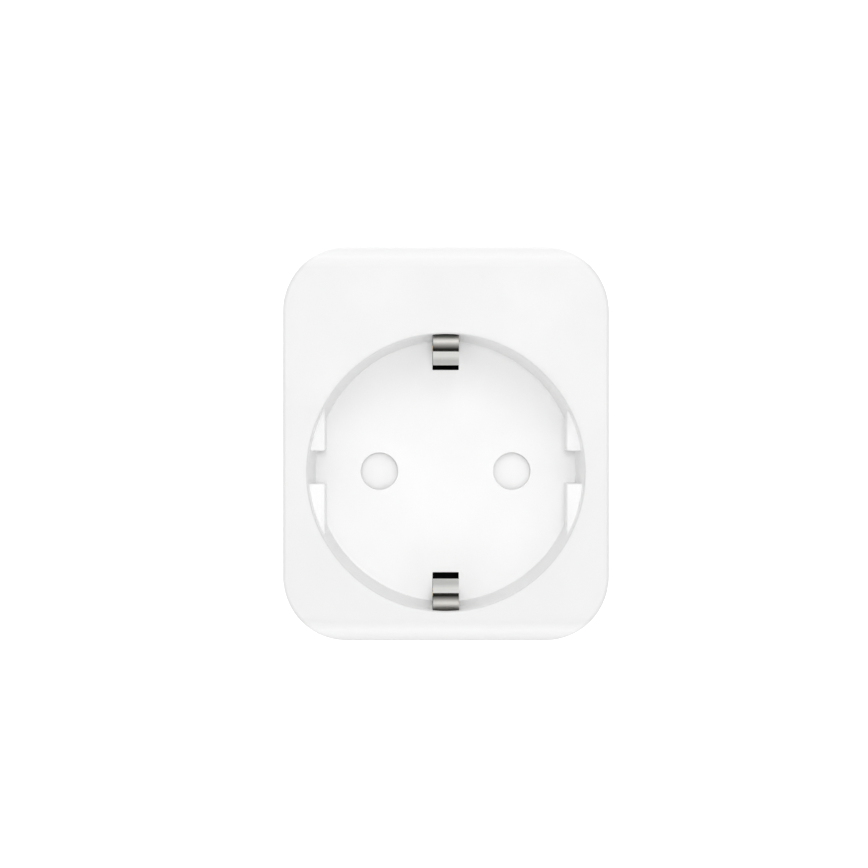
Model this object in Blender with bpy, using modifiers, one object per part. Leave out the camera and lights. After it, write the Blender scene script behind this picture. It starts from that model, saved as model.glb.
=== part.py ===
"""A plug-in power meter: a plug-through adaptor that measures what its socket delivers.

The socket's axis meets the rear face of the housing at the origin. +Y runs back through the
plug's pins, -Y runs out of the socket to the user, +X is to the user's right and +Z is up.
Sizes and places are in millimetres, and become metres where a mesh or a location is made.
"""

from math import cos, pi, radians, sin

import bmesh
import bpy
from mathutils import Euler, Vector

MM = 0.001

# Clearances.
GAP = 0.3            # between two faces that rest on each other
SLIP = 0.15          # on each side of a piece that slides or turns in another

# Housing.
BODY_WIDTH = 45.8
BODY_HEIGHT = 55.5
BODY_DEPTH = 39.0
BODY_RISE = 4.05     # middle of the housing above the socket's axis
CORNER_RADIUS = 9.2
CROWN_RADIUS = 3.0   # top and bottom edges of the face
REAR_ROUND = 1.5
WALL = 1.8
BACK_WALL = 2.0
COVER_SEAM = 15.0    # seam to rear face
LIP_REACH = 2.3
LIP_THICKNESS = 0.75
LIP_ROOT = 1.7

# Socket.
SOCKET_RADIUS = 19.5
SOCKET_DEPTH = 17.5
SOCKET_DRAFT = 0.8   # radius lost from mouth to floor
SOCKET_WALL = 1.5
FLOOR_WALL = 1.4
PIN_PITCH = 19.0
PIN_RADIUS = 2.4
PIN_LENGTH = 19.0
PIN_HOLE_RADIUS = 2.65
GUIDE_HALF_GAP = 17.2
GUIDE_RECESS = 4.5
GUIDE_DRAFT = 0.3
GUIDE_SLOT = 4.6
GUIDE_SLOT_RISE = 0.7

# Earth clips.
CLIP_WIDTH = 3.65
CLIP_THICKNESS = 0.5
CLIP_ROLL_RADIUS = 1.35
CLIP_ROLL_RECESS = 3.1
CLIP_BUMP_RECESS = 7.0
CLIP_BUMP_HEIGHT = 15.3
CLIP_ROOT_HEIGHT = 16.95
CLIP_SLOT_HEIGHT = 14.5
CLIP_PIVOT_DEPTH = 6.1   # behind the floor's rear face
CLIP_SWEEP = 2.2         # room that the clip's nose takes when it springs outward

# Plug boss.
BOSS_RADIUS = 18.3
BOSS_LENGTH = 17.0
BOSS_END_WALL = 1.8
BOSS_CHAMFER = 0.8
BOSS_FLAT = 16.4
BOSS_RIDGE = 1.4
BOSS_HOLLOW_RADIUS = 14.6
EARTH_GROOVE = 3.0       # half width
EARTH_GROOVE_FLOOR = 14.4
EARTH_GROOVE_WALL = 1.2
EARTH_STRIP_BOW = 0.3
FRENCH_EARTH_HEIGHT = 10.0
FRENCH_EARTH_RADIUS = 2.9
FRENCH_EARTH_WALL = 0.45

# Screws.
POST_INSET = 5.95
POST_RADIUS = 2.3
REAR_POST_RADIUS = 3.0
SCREW_RADIUS = 1.0
SCREW_HEAD_RADIUS = 1.8
SCREW_HEAD = 1.3
SCREW_REACH = 8.0        # into the front cover's posts
SCREW_SEAT = 5.4         # counterbore floor, from the rear face
CARRIER_SCREW_X = 5.6
CARRIER_SCREW_Z = 10.6
CARRIER_BOSS_RADIUS = 2.0

# Circuit boards.
BOARD = 1.6
BOARD_STANDOFF = 5.0     # rear face of the housing to the board
BOARD_MARGIN = 1.2       # board edge to the housing's inner wall
CONTROL_BOARD = 1.0
CONTROL_DROP = 6.8       # inner top wall to the control board
TONGUE = (5.0, 10.0)
CONTACT_WINDOW = 4.0     # half width of the openings around the socket contacts

# Contact carrier, shutter and contacts.
CARRIER_RADIUS = 15.6
CARRIER_TO_BOARD = 2.0
POCKET_DEPTH = 3.0
POCKET_RADIUS = 13.5
PIVOT_RADIUS = 2.0
SPRING_POCKET_RADIUS = 4.4
SPRING_POCKET_DEPTH = 2.4
SHUTTER_THICKNESS = 2.4
SHUTTER_PAD_RADIUS = 3.7
SHUTTER_HUB_RADIUS = 4.6
SPRING_RADIUS = 3.2
SPRING_WIRE = 0.25
SPRING_TURNS = 3
CONTACT_GRIP = 4.4
CONTACT_STRIP = 0.7
CONTACT_WIDTH = 5.0
CONTACT_FOOT = 6.2       # reach of the soldered foot from the pin's axis
RIVET_HEAD_RADIUS = 2.2
CARD = 0.3               # insulating card behind the carrier
CARD_GAP = 0.2
CARD_HALF_WIDTH = 3.1

# Controls in the top wall.
BUTTON_RADIUS = 3.5
BUTTON_FLANGE_RADIUS = 4.5
BUTTON_RECESS = 0.15     # below the top wall, so that it isn't pressed by a hand around the plug
BUTTON_SETBACK = 12.0    # from the front face
PIPE_X = 8.5
PIPE_RADIUS = 1.1
SWITCH_SIZE = 6.0
SWITCH_HEIGHT = 3.5
PLUNGER_RADIUS = 1.75

# Places that follow.
HALF_WIDTH = BODY_WIDTH / 2
TOP = BODY_RISE + BODY_HEIGHT / 2
BOTTOM = BODY_RISE - BODY_HEIGHT / 2
FACE = -BODY_DEPTH
SEAM = -COVER_SEAM
FLOOR = FACE + SOCKET_DEPTH
FLOOR_BACK = FLOOR + FLOOR_WALL
PIN_X = PIN_PITCH / 2
BOARD_BACK = -BOARD_STANDOFF
BOARD_FRONT = BOARD_BACK - BOARD
PARTS_FOOT = BOARD_FRONT - GAP
CARRIER_FRONT = FLOOR_BACK + GAP
CARRIER_BACK = BOARD_FRONT - CARRIER_TO_BOARD
POCKET_FLOOR = CARRIER_FRONT + POCKET_DEPTH
SPRING_FLOOR = POCKET_FLOOR + SPRING_POCKET_DEPTH
SHUTTER_FRONT = FLOOR_BACK + 0.4
SHUTTER_BACK = SHUTTER_FRONT + SHUTTER_THICKNESS
INNER_TOP = TOP - WALL
CONTROL_TOP = INNER_TOP - CONTROL_DROP
CONTROL_BOTTOM = CONTROL_TOP - CONTROL_BOARD
CONTROL_FOOT = CONTROL_TOP + GAP
CONTROL_FRONT = FACE + WALL + 0.8
CONTROL_BACK = FLOOR_BACK + 0.5
BUTTON_Y = FACE + BUTTON_SETBACK
CLIP_PIVOT = FLOOR_BACK + CLIP_PIVOT_DEPTH
YOKE_HEIGHT = CLIP_ROOT_HEIGHT + CLIP_THICKNESS / 2 + GAP + 0.3
YOKE_THICKNESS = 0.6
FRONT_YOKE_BASE = BOARD_FRONT - 1.0
REAR_YOKE_BASE = BOARD_BACK + 0.7
PIN_STRIP = (0.3, 1.1)
PIN_LEG_Z = -8.6
BOSS_INNER_END = BOSS_LENGTH - BOSS_END_WALL
PLUNGER_TOP = CONTROL_FOOT + SWITCH_HEIGHT + 1.2

# How the two-dimensional outlines of prisms and the profiles of turned pieces are turned to an axis:
# an outline is (y, z) along X, (x, z) along Y and (x, y) along Z.
TURN = {"X": (pi / 2, 0, pi / 2), "Y": (pi / 2, 0, 0), "Z": (0, 0, 0)}


# ---------------------------------------------------------------- scene, materials and objects

def empty_scene():
    """Removes every object and makes the collections for the parts and for the cutting tools."""
    for thing in list(bpy.data.objects):
        bpy.data.objects.remove(thing)
    groups = []
    for title in ("plug_in_power_meter", "cutters"):
        group = bpy.data.collections.new(title)
        bpy.context.scene.collection.children.link(group)
        groups.append(group)
    return groups


PARTS, CUTTERS = empty_scene()


def material(name, colour, roughness, metallic=0.0):
    skin = bpy.data.materials.new(name)
    skin.use_nodes = True
    shader = skin.node_tree.nodes["Principled BSDF"]
    shader.inputs["Base Color"].default_value = (*colour, 1.0)
    shader.inputs["Roughness"].default_value = roughness
    shader.inputs["Metallic"].default_value = metallic
    return skin


WHITE = material("white_plastic", (0.86, 0.86, 0.85), 0.38)
NATURAL = material("natural_nylon", (0.72, 0.70, 0.64), 0.5)
BLACK = material("black_plastic", (0.03, 0.03, 0.03), 0.45)
RELAY_BLUE = material("relay_plastic", (0.05, 0.12, 0.32), 0.4)
FILM_GREY = material("film_capacitor", (0.55, 0.53, 0.42), 0.5)
VARISTOR_BLUE = material("varistor_epoxy", (0.04, 0.13, 0.40), 0.35)
SLEEVE = material("capacitor_sleeve", (0.03, 0.05, 0.12), 0.35)
BOARD_GREEN = material("board_laminate", (0.03, 0.20, 0.09), 0.45)
CLEAR = material("clear_acrylic", (0.90, 0.92, 0.93), 0.12)
LED_BODY = material("led_body", (0.85, 0.82, 0.70), 0.3)
NICKEL = material("nickel_plate", (0.70, 0.68, 0.65), 0.25, 1.0)
BRASS = material("brass", (0.80, 0.62, 0.30), 0.3, 1.0)
STEEL = material("zinc_steel", (0.62, 0.63, 0.65), 0.35, 1.0)
SPRING_STEEL = material("spring_steel", (0.50, 0.50, 0.52), 0.3, 1.0)
COPPER = material("copper", (0.78, 0.42, 0.26), 0.35, 1.0)
RESISTOR = material("resistor_coat", (0.22, 0.34, 0.26), 0.55)


def place(thing, axis, centre, along):
    """Turns an object to the axis and sets it down at two cross coordinates and one along it."""
    across, up = centre
    spots = {"X": (along, across, up), "Y": (across, along, up), "Z": (across, up, along)}
    thing.rotation_euler = Euler(TURN[axis])
    thing.location = Vector(spots[axis]) * MM


def tool(name, mesh):
    """A new object among the cutters, where every shape starts."""
    thing = bpy.data.objects.new(name, mesh)
    CUTTERS.objects.link(thing)
    thing.hide_render = True
    thing.display_type = "WIRE"
    return thing


def keep(thing, name, skin):
    """Makes a shape one of the parts, under its own name and with its material."""
    thing.name = name
    thing.data.name = name
    thing.data.materials.append(skin)
    CUTTERS.objects.unlink(thing)
    PARTS.objects.link(thing)
    thing.hide_render = False
    thing.display_type = "TEXTURED"
    return thing


def pivot(name, spot, children):
    """An empty on a joint's axis that carries the pieces that move about it."""
    axle = bpy.data.objects.new(name, None)
    axle.empty_display_size = 2 * MM
    axle.location = Vector(spot) * MM
    PARTS.objects.link(axle)
    for child in children:
        child.parent = axle
        child.location = child.location - axle.location


def combine(thing, other, operation):
    step = thing.modifiers.new(other.name, "BOOLEAN")
    step.operation = operation
    step.solver = "EXACT"
    step.object = other


def cut(thing, *tools):
    for each in tools:
        combine(thing, each, "DIFFERENCE")
    return thing


def join(thing, *tools):
    for each in tools:
        combine(thing, each, "UNION")
    return thing


# ---------------------------------------------------------------- shapes

def box(name, xs, ys, zs):
    """A block between two places on each axis."""
    spans = [sorted(span) for span in (xs, ys, zs)]
    size = Vector([high - low for low, high in spans]) * MM
    mesh = bpy.data.meshes.new(name)
    bm = bmesh.new()
    bmesh.ops.create_cube(bm, size=1.0)
    bmesh.ops.scale(bm, vec=size, verts=bm.verts)
    bm.to_mesh(mesh)
    bm.free()
    thing = tool(name, mesh)
    thing.location = Vector([(low + high) / 2 for low, high in spans]) * MM
    return thing


def rod(name, radius, axis, centre, span, sides=32, end_radius=None):
    """A cylinder along an axis, or a cone frustum when it ends at another radius."""
    start, end = span
    last = radius if end_radius is None else end_radius
    low, high = (last, radius) if axis == "Y" else (radius, last)
    mesh = bpy.data.meshes.new(name)
    bm = bmesh.new()
    bmesh.ops.create_cone(
        bm, cap_ends=True, segments=sides, radius1=low * MM, radius2=high * MM, depth=(end - start) * MM
    )
    bm.to_mesh(mesh)
    bm.free()
    thing = tool(name, mesh)
    place(thing, axis, centre, (start + end) / 2)
    return thing


def turned(name, profile, axis, centre, steps=32, ring=False):
    """A turned piece: its profile is (radius, place along the axis), from the start of the axis on."""
    way = -1 if axis == "Y" else 1
    points = profile if axis == "Y" else profile[::-1]
    mesh = bpy.data.meshes.new(name)
    bm = bmesh.new()
    knots = [bm.verts.new(Vector((radius, 0, way * along)) * MM) for radius, along in points]
    for first, second in zip(knots, knots[1:]):
        bm.edges.new((first, second))
    if ring:
        bm.edges.new((knots[-1], knots[0]))
    bm.to_mesh(mesh)
    bm.free()
    thing = tool(name, mesh)
    place(thing, axis, centre, 0)
    lathe = thing.modifiers.new("lathe", "SCREW")
    lathe.axis = "Z"
    lathe.angle = 2 * pi
    lathe.steps = steps
    lathe.render_steps = steps
    lathe.use_merge_vertices = True
    lathe.merge_threshold = 0.00001
    return thing


def meshed(drawn):
    """Turns a curve into a mesh object in the same place, with its caps welded on."""
    bpy.context.view_layer.update()
    seen = drawn.evaluated_get(bpy.context.evaluated_depsgraph_get())
    mesh = bpy.data.meshes.new_from_object(seen)
    bm = bmesh.new()
    bm.from_mesh(mesh)
    bmesh.ops.remove_doubles(bm, verts=bm.verts, dist=0.00001)
    bmesh.ops.recalc_face_normals(bm, faces=bm.faces)
    bm.to_mesh(mesh)
    bm.free()
    thing = tool(drawn.name, mesh)
    thing.matrix_world = drawn.matrix_world
    bpy.data.objects.remove(drawn)
    return thing


def prism(name, outline, axis, span, holes=()):
    """A flat outline, with any holes in it, carried along an axis."""
    start, end = span
    curve = bpy.data.curves.new(name, "CURVE")
    curve.dimensions = "2D"
    curve.fill_mode = "BOTH"
    curve.extrude = (end - start) / 2 * MM
    for loop in (outline, *holes):
        spline = curve.splines.new("POLY")
        spline.points.add(len(loop) - 1)
        spline.use_cyclic_u = True
        for knot, (across, up) in zip(spline.points, loop):
            knot.co = (across * MM, up * MM, 0, 1)
    drawn = bpy.data.objects.new(name, curve)
    CUTTERS.objects.link(drawn)
    place(drawn, axis, (0, 0), (start + end) / 2)
    return meshed(drawn)


def wire(name, route, radius):
    """A round wire with closed ends along a route."""
    curve = bpy.data.curves.new(name, "CURVE")
    curve.dimensions = "3D"
    curve.bevel_depth = radius * MM
    curve.bevel_resolution = 2
    curve.use_fill_caps = True
    spline = curve.splines.new("POLY")
    spline.points.add(len(route) - 1)
    for knot, spot in zip(spline.points, route):
        knot.co = (*(Vector(spot) * MM), 1)
    drawn = bpy.data.objects.new(name, curve)
    CUTTERS.objects.link(drawn)
    return meshed(drawn)


def arc(centre, radius, start, end, steps):
    """Points along a round stretch between two angles in degrees."""
    angles = [radians(start + (end - start) * i / steps) for i in range(steps + 1)]
    return [(centre[0] + radius * cos(a), centre[1] + radius * sin(a)) for a in angles]


def body_outline(inset):
    """The housing's outline seen from the front, a distance inside its outer wall."""
    radius = CORNER_RADIUS - inset
    right = HALF_WIDTH - CORNER_RADIUS
    high = TOP - CORNER_RADIUS
    low = BOTTOM + CORNER_RADIUS
    corners = [((right, high), 0), ((-right, high), 90), ((-right, low), 180), ((right, low), 270)]
    return [point for centre, start in corners for point in arc(centre, radius, start, start + 90, 8)]


def ribbon(path, thickness):
    """The outline of a bent strip whose middle line is the path."""
    points = [Vector(point) for point in path]
    ways = [(b - a).normalized() for a, b in zip(points, points[1:])]
    left = []
    right = []
    for i, point in enumerate(points):
        before = ways[max(i - 1, 0)]
        after = ways[min(i, len(ways) - 1)]
        normal = Vector((-before.y - after.y, before.x + after.x)).normalized()
        reach = thickness / 2 / normal.dot(Vector((-after.y, after.x)))
        left.append(tuple(point + normal * reach))
        right.append(tuple(point - normal * reach))
    return left + right[::-1]


def post_places():
    """Where the four housing screws stand, as (x, z)."""
    right = HALF_WIDTH - POST_INSET
    return [(x, z) for z in (TOP - POST_INSET, BOTTOM + POST_INSET) for x in (-right, right)]


def socket_radius(y):
    """The recess's radius at a place along the socket's axis."""
    return SOCKET_RADIUS - SOCKET_DRAFT * (y - FACE) / SOCKET_DEPTH


def slot_ends():
    """The bottom and top of the slot between the guide blocks."""
    return GUIDE_SLOT_RISE - GUIDE_SLOT / 2, GUIDE_SLOT_RISE + GUIDE_SLOT / 2


# ---------------------------------------------------------------- housing

def recess():
    """The space inside the socket: a drafted bore that keeps clear of the four guide blocks."""
    start = FACE - 1
    space = rod("socket_recess", socket_radius(start), "Y", (0, 0), (start, FLOOR), 56, socket_radius(FLOOR))
    front = FACE + GUIDE_RECESS
    back = FLOOR + 1
    low, high = slot_ends()
    reach = SOCKET_RADIUS * 0.7
    outer = SOCKET_RADIUS + 5
    for side in (-1, 1):
        near = side * GUIDE_HALF_GAP
        deep = side * (GUIDE_HALF_GAP - GUIDE_DRAFT)
        outline = [(near, front), (side * outer, front), (side * outer, back), (deep, back)]
        cut(space, prism("guide_upper", outline, "Z", (high, reach)))
        cut(space, prism("guide_lower", outline, "Z", (-reach, low)))
    return space


def crown(side):
    """What the rounded top or bottom edge of the face takes away."""
    edge = TOP if side > 0 else BOTTOM
    round_part = arc((FACE + CROWN_RADIUS, edge - side * CROWN_RADIUS), CROWN_RADIUS, 180, 180 - side * 90, 8)
    outside = [(FACE + CROWN_RADIUS, edge + side), (FACE - 1, edge + side), (FACE - 1, edge - side * CROWN_RADIUS)]
    return prism("crown", round_part + outside, "X", (-HALF_WIDTH - 1, HALF_WIDTH + 1))


def clip_channel(side):
    """The slot through the socket's wall and floor that one earth clip stands in."""
    half = CLIP_WIDTH / 2 + SLIP
    inner = side * CLIP_SLOT_HEIGHT
    outer = side * (SOCKET_RADIUS + CLIP_SWEEP)
    return box("clip_channel", (-half, half), (FACE + WALL - 0.6, FLOOR_BACK + 1), (inner, outer))


def front_cover():
    shell = prism("front_cover", body_outline(0), "Y", (FACE, SEAM))
    cut(shell, crown(1), crown(-1))
    cut(shell, prism("cover_hollow", body_outline(WALL), "Y", (FACE + WALL, SEAM + 1)))
    cup_front = FACE + WALL / 2
    front_radius = socket_radius(cup_front) + SOCKET_WALL
    back_radius = socket_radius(FLOOR_BACK) + SOCKET_WALL
    join(shell, rod("cup", front_radius, "Y", (0, 0), (cup_front, FLOOR_BACK), 56, back_radius))
    for centre in post_places():
        join(shell, rod("post", POST_RADIUS, "Y", centre, (FACE + WALL / 2, SEAM - GAP), 16))
    for side in (-1, 1):
        boss_place = (-side * CARRIER_SCREW_X, side * CARRIER_SCREW_Z)
        join(shell, rod("carrier_boss", CARRIER_BOSS_RADIUS, "Y", boss_place, (FLOOR_BACK - 0.5, POCKET_FLOOR - GAP), 16))
        rail_x = (side * (HALF_WIDTH - WALL - 1.1), side * (HALF_WIDTH - WALL / 2))
        rail_z = (CONTROL_BOTTOM - GAP - 1.0, CONTROL_BOTTOM - GAP)
        join(shell, box("board_rail", rail_x, (CONTROL_FRONT, CONTROL_BACK), rail_z))
    cut(shell, recess(), clip_channel(1), clip_channel(-1))
    for side in (-1, 1):
        cut(shell, rod("pin_hole", PIN_HOLE_RADIUS, "Y", (side * PIN_X, 0), (FLOOR - 1, FLOOR_BACK + 1), 32))
        boss_place = (-side * CARRIER_SCREW_X, side * CARRIER_SCREW_Z)
        cut(shell, rod("boss_pilot", 1.05, "Y", boss_place, (FLOOR_BACK - 0.1, POCKET_FLOOR), 12))
    for centre in post_places():
        pilot = (SEAM - GAP - SCREW_REACH - 1.5, SEAM)
        cut(shell, rod("post_pilot", SCREW_RADIUS + SLIP, "Y", centre, pilot, 12))
    through = (INNER_TOP - 1, TOP + 1)
    cut(shell, rod("button_hole", BUTTON_RADIUS + 0.25, "Z", (0, BUTTON_Y), through, 28))
    cut(shell, rod("pipe_hole", PIPE_RADIUS + 0.1, "Z", (PIPE_X, BUTTON_Y), through, 16))
    return keep(shell, "front_cover", WHITE)


def round_rear_edge(thing):
    """Rounds the rim of the housing's rear face, which lies at the bottom of the prism's own Z."""
    bm = bmesh.new()
    bm.from_mesh(thing.data)
    level = min(v.co.z for v in bm.verts)
    cap = [f for f in bm.faces if all(abs(v.co.z - level) < 1e-7 for v in f.verts)]
    flat = bmesh.ops.dissolve_faces(bm, faces=cap)["region"]
    rim = list(flat[0].edges)
    bmesh.ops.bevel(bm, geom=rim, offset=REAR_ROUND * MM, segments=4, profile=0.5, affect="EDGES")
    bm.to_mesh(thing.data)
    bm.free()


def boss():
    """The round plug that goes into the wall socket, with its flats, ridges and earth grooves."""
    start = -BACK_WALL / 2
    shoulder = BOSS_LENGTH - BOSS_CHAMFER
    profile = [(0, start), (BOSS_RADIUS, start), (BOSS_RADIUS, shoulder), (BOSS_RADIUS - BOSS_CHAMFER, BOSS_LENGTH),
               (0, BOSS_LENGTH)]
    plug = turned("plug_boss", profile, "Y", (0, 0), 56)
    outer = BOSS_RADIUS + 1
    for side in (-1, 1):
        flat_x = (side * BOSS_FLAT, side * outer)
        for half in (-1, 1):
            cut(plug, box("side_flat", flat_x, (0, BOSS_LENGTH + 1), (half * BOSS_RIDGE, half * outer)))
        groove_z = (side * EARTH_GROOVE_FLOOR, side * outer)
        cut(plug, box("earth_groove", (-EARTH_GROOVE, EARTH_GROOVE), (0, BOSS_LENGTH + 1), groove_z))
    return plug


def boss_space():
    """The hollow of the boss, which keeps a wall behind each earth groove."""
    space = rod("boss_space", BOSS_HOLLOW_RADIUS, "Y", (0, 0), (-BACK_WALL - 1, BOSS_INNER_END), 48)
    half = EARTH_GROOVE + 1.5
    inner = EARTH_GROOVE_FLOOR - EARTH_GROOVE_WALL
    for side in (-1, 1):
        backing_z = (side * inner, side * (BOSS_HOLLOW_RADIUS + 1))
        cut(space, box("groove_backing", (-half, half), (-BACK_WALL - 2, BOSS_INNER_END + 1), backing_z))
    return space


def rear_housing():
    lip_tip = SEAM - LIP_REACH + GAP
    seam_edge = SEAM + GAP
    shell = prism("rear_housing", body_outline(0), "Y", (lip_tip, 0))
    round_rear_edge(shell)
    step = prism("lip_step", body_outline(-1), "Y", (lip_tip - 1, seam_edge), [body_outline(WALL + SLIP)])
    lip_inset = WALL + SLIP + LIP_THICKNESS
    cut(shell, step)
    cut(shell, prism("lip_space", body_outline(lip_inset), "Y", (lip_tip - 1, seam_edge + LIP_ROOT)))
    cut(shell, prism("rear_space", body_outline(WALL), "Y", (seam_edge + LIP_ROOT - 0.2, -BACK_WALL)))
    join(shell, boss())
    for centre in post_places():
        join(shell, rod("rear_post", REAR_POST_RADIUS, "Y", centre, (SEAM, -BACK_WALL / 2), 20))
    for side in (-1, 1):
        for height in (12.0, -8.0):
            centre = (side * (HALF_WIDTH - WALL - 2.5), height)
            join(shell, rod("board_standoff", 1.3, "Y", centre, (BOARD_BACK + GAP, -BACK_WALL / 2), 12))
    cut(shell, boss_space())
    for centre in post_places():
        cut(shell, rod("post_clearance", POST_RADIUS + 0.5, "Y", centre, (lip_tip - 1, SEAM), 16))
        cut(shell, rod("screw_hole", SCREW_RADIUS + 0.2, "Y", centre, (SEAM - 1, -SCREW_SEAT + 1), 12))
        cut(shell, rod("counterbore", SCREW_HEAD_RADIUS + 0.2, "Y", centre, (-SCREW_SEAT, 1), 20))
    for side in (-1, 1):
        end = (BOSS_INNER_END - 1, BOSS_LENGTH + 1)
        cut(shell, rod("rear_pin_hole", PIN_RADIUS + GAP, "Y", (side * PIN_X, 0), end, 24))
        slot_z = (side * EARTH_GROOVE_FLOOR, side * (EARTH_GROOVE_FLOOR + 1.2))
        cut(shell, box("strip_slot", (-2.6, 2.6), (-BACK_WALL - 1, 1), slot_z))
    bore = FRENCH_EARTH_RADIUS - FRENCH_EARTH_WALL + GAP
    french = (0, FRENCH_EARTH_HEIGHT)
    cut(shell, rod("french_hole", bore, "Y", french, (BOSS_INNER_END - 1, BOSS_LENGTH + 1), 24))
    return keep(shell, "rear_housing", WHITE)


def screw(name, centre, head_radius, head, shank):
    """A pan-head screw: the head and the shank's tip are places along Y, the head's end first."""
    outer, seat = head
    radius, tip = shank
    edge = 0.35
    profile = [(0, tip), (radius * 0.6, tip), (radius, tip + 0.6), (radius, seat), (head_radius, seat),
               (head_radius, outer - edge), (head_radius - edge, outer), (0, outer)]
    drive = 0.45
    thing = turned(name, profile, "Y", centre, 16)
    x, z = centre
    for half_x, half_z in ((1.1, drive / 2), (drive / 2, 1.1)):
        slot = ((x - half_x, x + half_x), (outer - 0.6, outer + 1), (z - half_z, z + half_z))
        cut(thing, box("cross_slot", *slot))
    return keep(thing, name, STEEL)


def housing_screws():
    seat = -SCREW_SEAT + GAP
    for number, centre in enumerate(post_places(), 1):
        tip = SEAM - GAP - SCREW_REACH
        screw(f"housing_screw_{number}", centre, SCREW_HEAD_RADIUS, (seat + SCREW_HEAD, seat), (SCREW_RADIUS, tip))


# ---------------------------------------------------------------- contacts, shutter and carrier

def contact_carrier():
    disc = rod("contact_carrier", CARRIER_RADIUS, "Y", (0, 0), (CARRIER_FRONT, CARRIER_BACK), 40)
    before = CARRIER_FRONT - 1
    pocket = [(PIVOT_RADIUS, before), (POCKET_RADIUS, before), (POCKET_RADIUS, POCKET_FLOOR),
              (SPRING_POCKET_RADIUS, POCKET_FLOOR), (SPRING_POCKET_RADIUS, SPRING_FLOOR),
              (PIVOT_RADIUS, SPRING_FLOOR)]
    cut(disc, turned("rotor_pocket", pocket, "Y", (0, 0), 40, ring=True))
    for side in (-1, 1):
        half = CONTACT_WINDOW + 0.2
        well_x = (side * PIN_X - half, side * PIN_X + half)
        cut(disc, box("contact_well", well_x, (CARRIER_FRONT - 1, CARRIER_BACK + 1), (-3.0, 3.0)))
        centre = (-side * CARRIER_SCREW_X, side * CARRIER_SCREW_Z)
        seat = POCKET_FLOOR + 3.3
        boss_way = (CARRIER_FRONT - 1, POCKET_FLOOR)
        cut(disc, rod("boss_way", CARRIER_BOSS_RADIUS + GAP, "Y", centre, boss_way, 16))
        cut(disc, rod("screw_way", 1.1, "Y", centre, (POCKET_FLOOR - 1, seat + 1), 12))
        cut(disc, rod("screw_recess", SCREW_HEAD_RADIUS + 0.2, "Y", centre, (seat, CARRIER_BACK + 1), 16))
        relief_z = (side * (CLIP_SLOT_HEIGHT - 0.4), side * (CARRIER_RADIUS + 1))
        cut(disc, box("clip_relief", (-3.2, 3.2), (CARRIER_FRONT - 1, CARRIER_BACK + 1), relief_z))
    cut(disc, rod("rivet_relief", 2.8, "Y", (0, 0), (CARRIER_BACK - 1.0, CARRIER_BACK + 1), 16))
    return keep(disc, "contact_carrier", NATURAL)


def carrier_screws():
    for number, side in enumerate((-1, 1), 1):
        seat = POCKET_FLOOR + 3.6
        centre = (-side * CARRIER_SCREW_X, side * CARRIER_SCREW_Z)
        tip = FLOOR_BACK + 0.5
        screw(f"carrier_screw_{number}", centre, SCREW_HEAD_RADIUS, (seat + 1.2, seat), (0.9, tip))


def shutter():
    span = (SHUTTER_FRONT, SHUTTER_BACK)
    rotor = rod("shutter", SHUTTER_HUB_RADIUS, "Y", (0, 0), span, 28)
    join(rotor, box("arm", (-PIN_X, PIN_X), (SHUTTER_FRONT, SHUTTER_BACK), (-2.5, 2.5)))
    edge = 0.7
    pad = [(0, SHUTTER_FRONT), (SHUTTER_PAD_RADIUS - edge, SHUTTER_FRONT),
           (SHUTTER_PAD_RADIUS, SHUTTER_FRONT + edge), (SHUTTER_PAD_RADIUS, SHUTTER_BACK), (0, SHUTTER_BACK)]
    for side in (-1, 1):
        join(rotor, turned("pad", pad, "Y", (side * PIN_X, 0), 24))
    cut(rotor, rod("rotor_bore", PIVOT_RADIUS + SLIP, "Y", (0, 0), (SHUTTER_FRONT - 1, SHUTTER_BACK + 1), 20))
    hook = (SHUTTER_BACK - 1.2, SHUTTER_BACK + 1)
    cut(rotor, rod("spring_hole", SPRING_WIRE * 2, "Y", (0, SPRING_RADIUS), hook, 12))
    return keep(rotor, "shutter", WHITE)


def shutter_spring():
    """A torsion spring around the pivot, with one leg forward into the rotor."""
    start = SHUTTER_BACK + 0.35 + SPRING_WIRE
    end = SPRING_FLOOR - GAP - SPRING_WIRE
    per_turn = 12
    count = SPRING_TURNS * per_turn
    route = [(0, SHUTTER_BACK - 0.8, SPRING_RADIUS), (0, start - 0.2, SPRING_RADIUS)]
    for i in range(1, count + 1):
        angle = pi / 2 + 2 * pi * i / per_turn
        y = start + (end - start) * i / count
        route.append((SPRING_RADIUS * cos(angle), y, SPRING_RADIUS * sin(angle)))
    return keep(wire("shutter_spring", route, SPRING_WIRE), "shutter_spring", SPRING_STEEL)


def socket_contact(name, side):
    """A U-shaped spring contact that grips a pin, with a foot soldered to the board."""
    grip = (CONTACT_GRIP + CONTACT_STRIP) / 2
    mouth = POCKET_FLOOR - 0.2
    heel = -BACK_WALL + 0.5
    half = [(grip + 0.75, mouth), (grip, mouth + 1.6), (grip + 0.2, BOARD_FRONT - 2.4), (grip + 0.2, heel - 1.2)]
    path = half + [(grip - 0.9, heel), (-grip + 0.9, heel)] + [(-x, y) for x, y in half[::-1]]
    shifted = [(side * PIN_X + x, y) for x, y in path]
    width = (-CONTACT_WIDTH / 2, CONTACT_WIDTH / 2)
    thing = prism(name, ribbon(shifted, CONTACT_STRIP), "Z", width)
    inner = side * (PIN_X + grip)
    outer = side * (PIN_X + CONTACT_FOOT)
    foot = (PARTS_FOOT - 0.6, PARTS_FOOT)
    join(thing, box("contact_foot", (inner, outer), foot, width))
    return keep(thing, name, BRASS)


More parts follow.
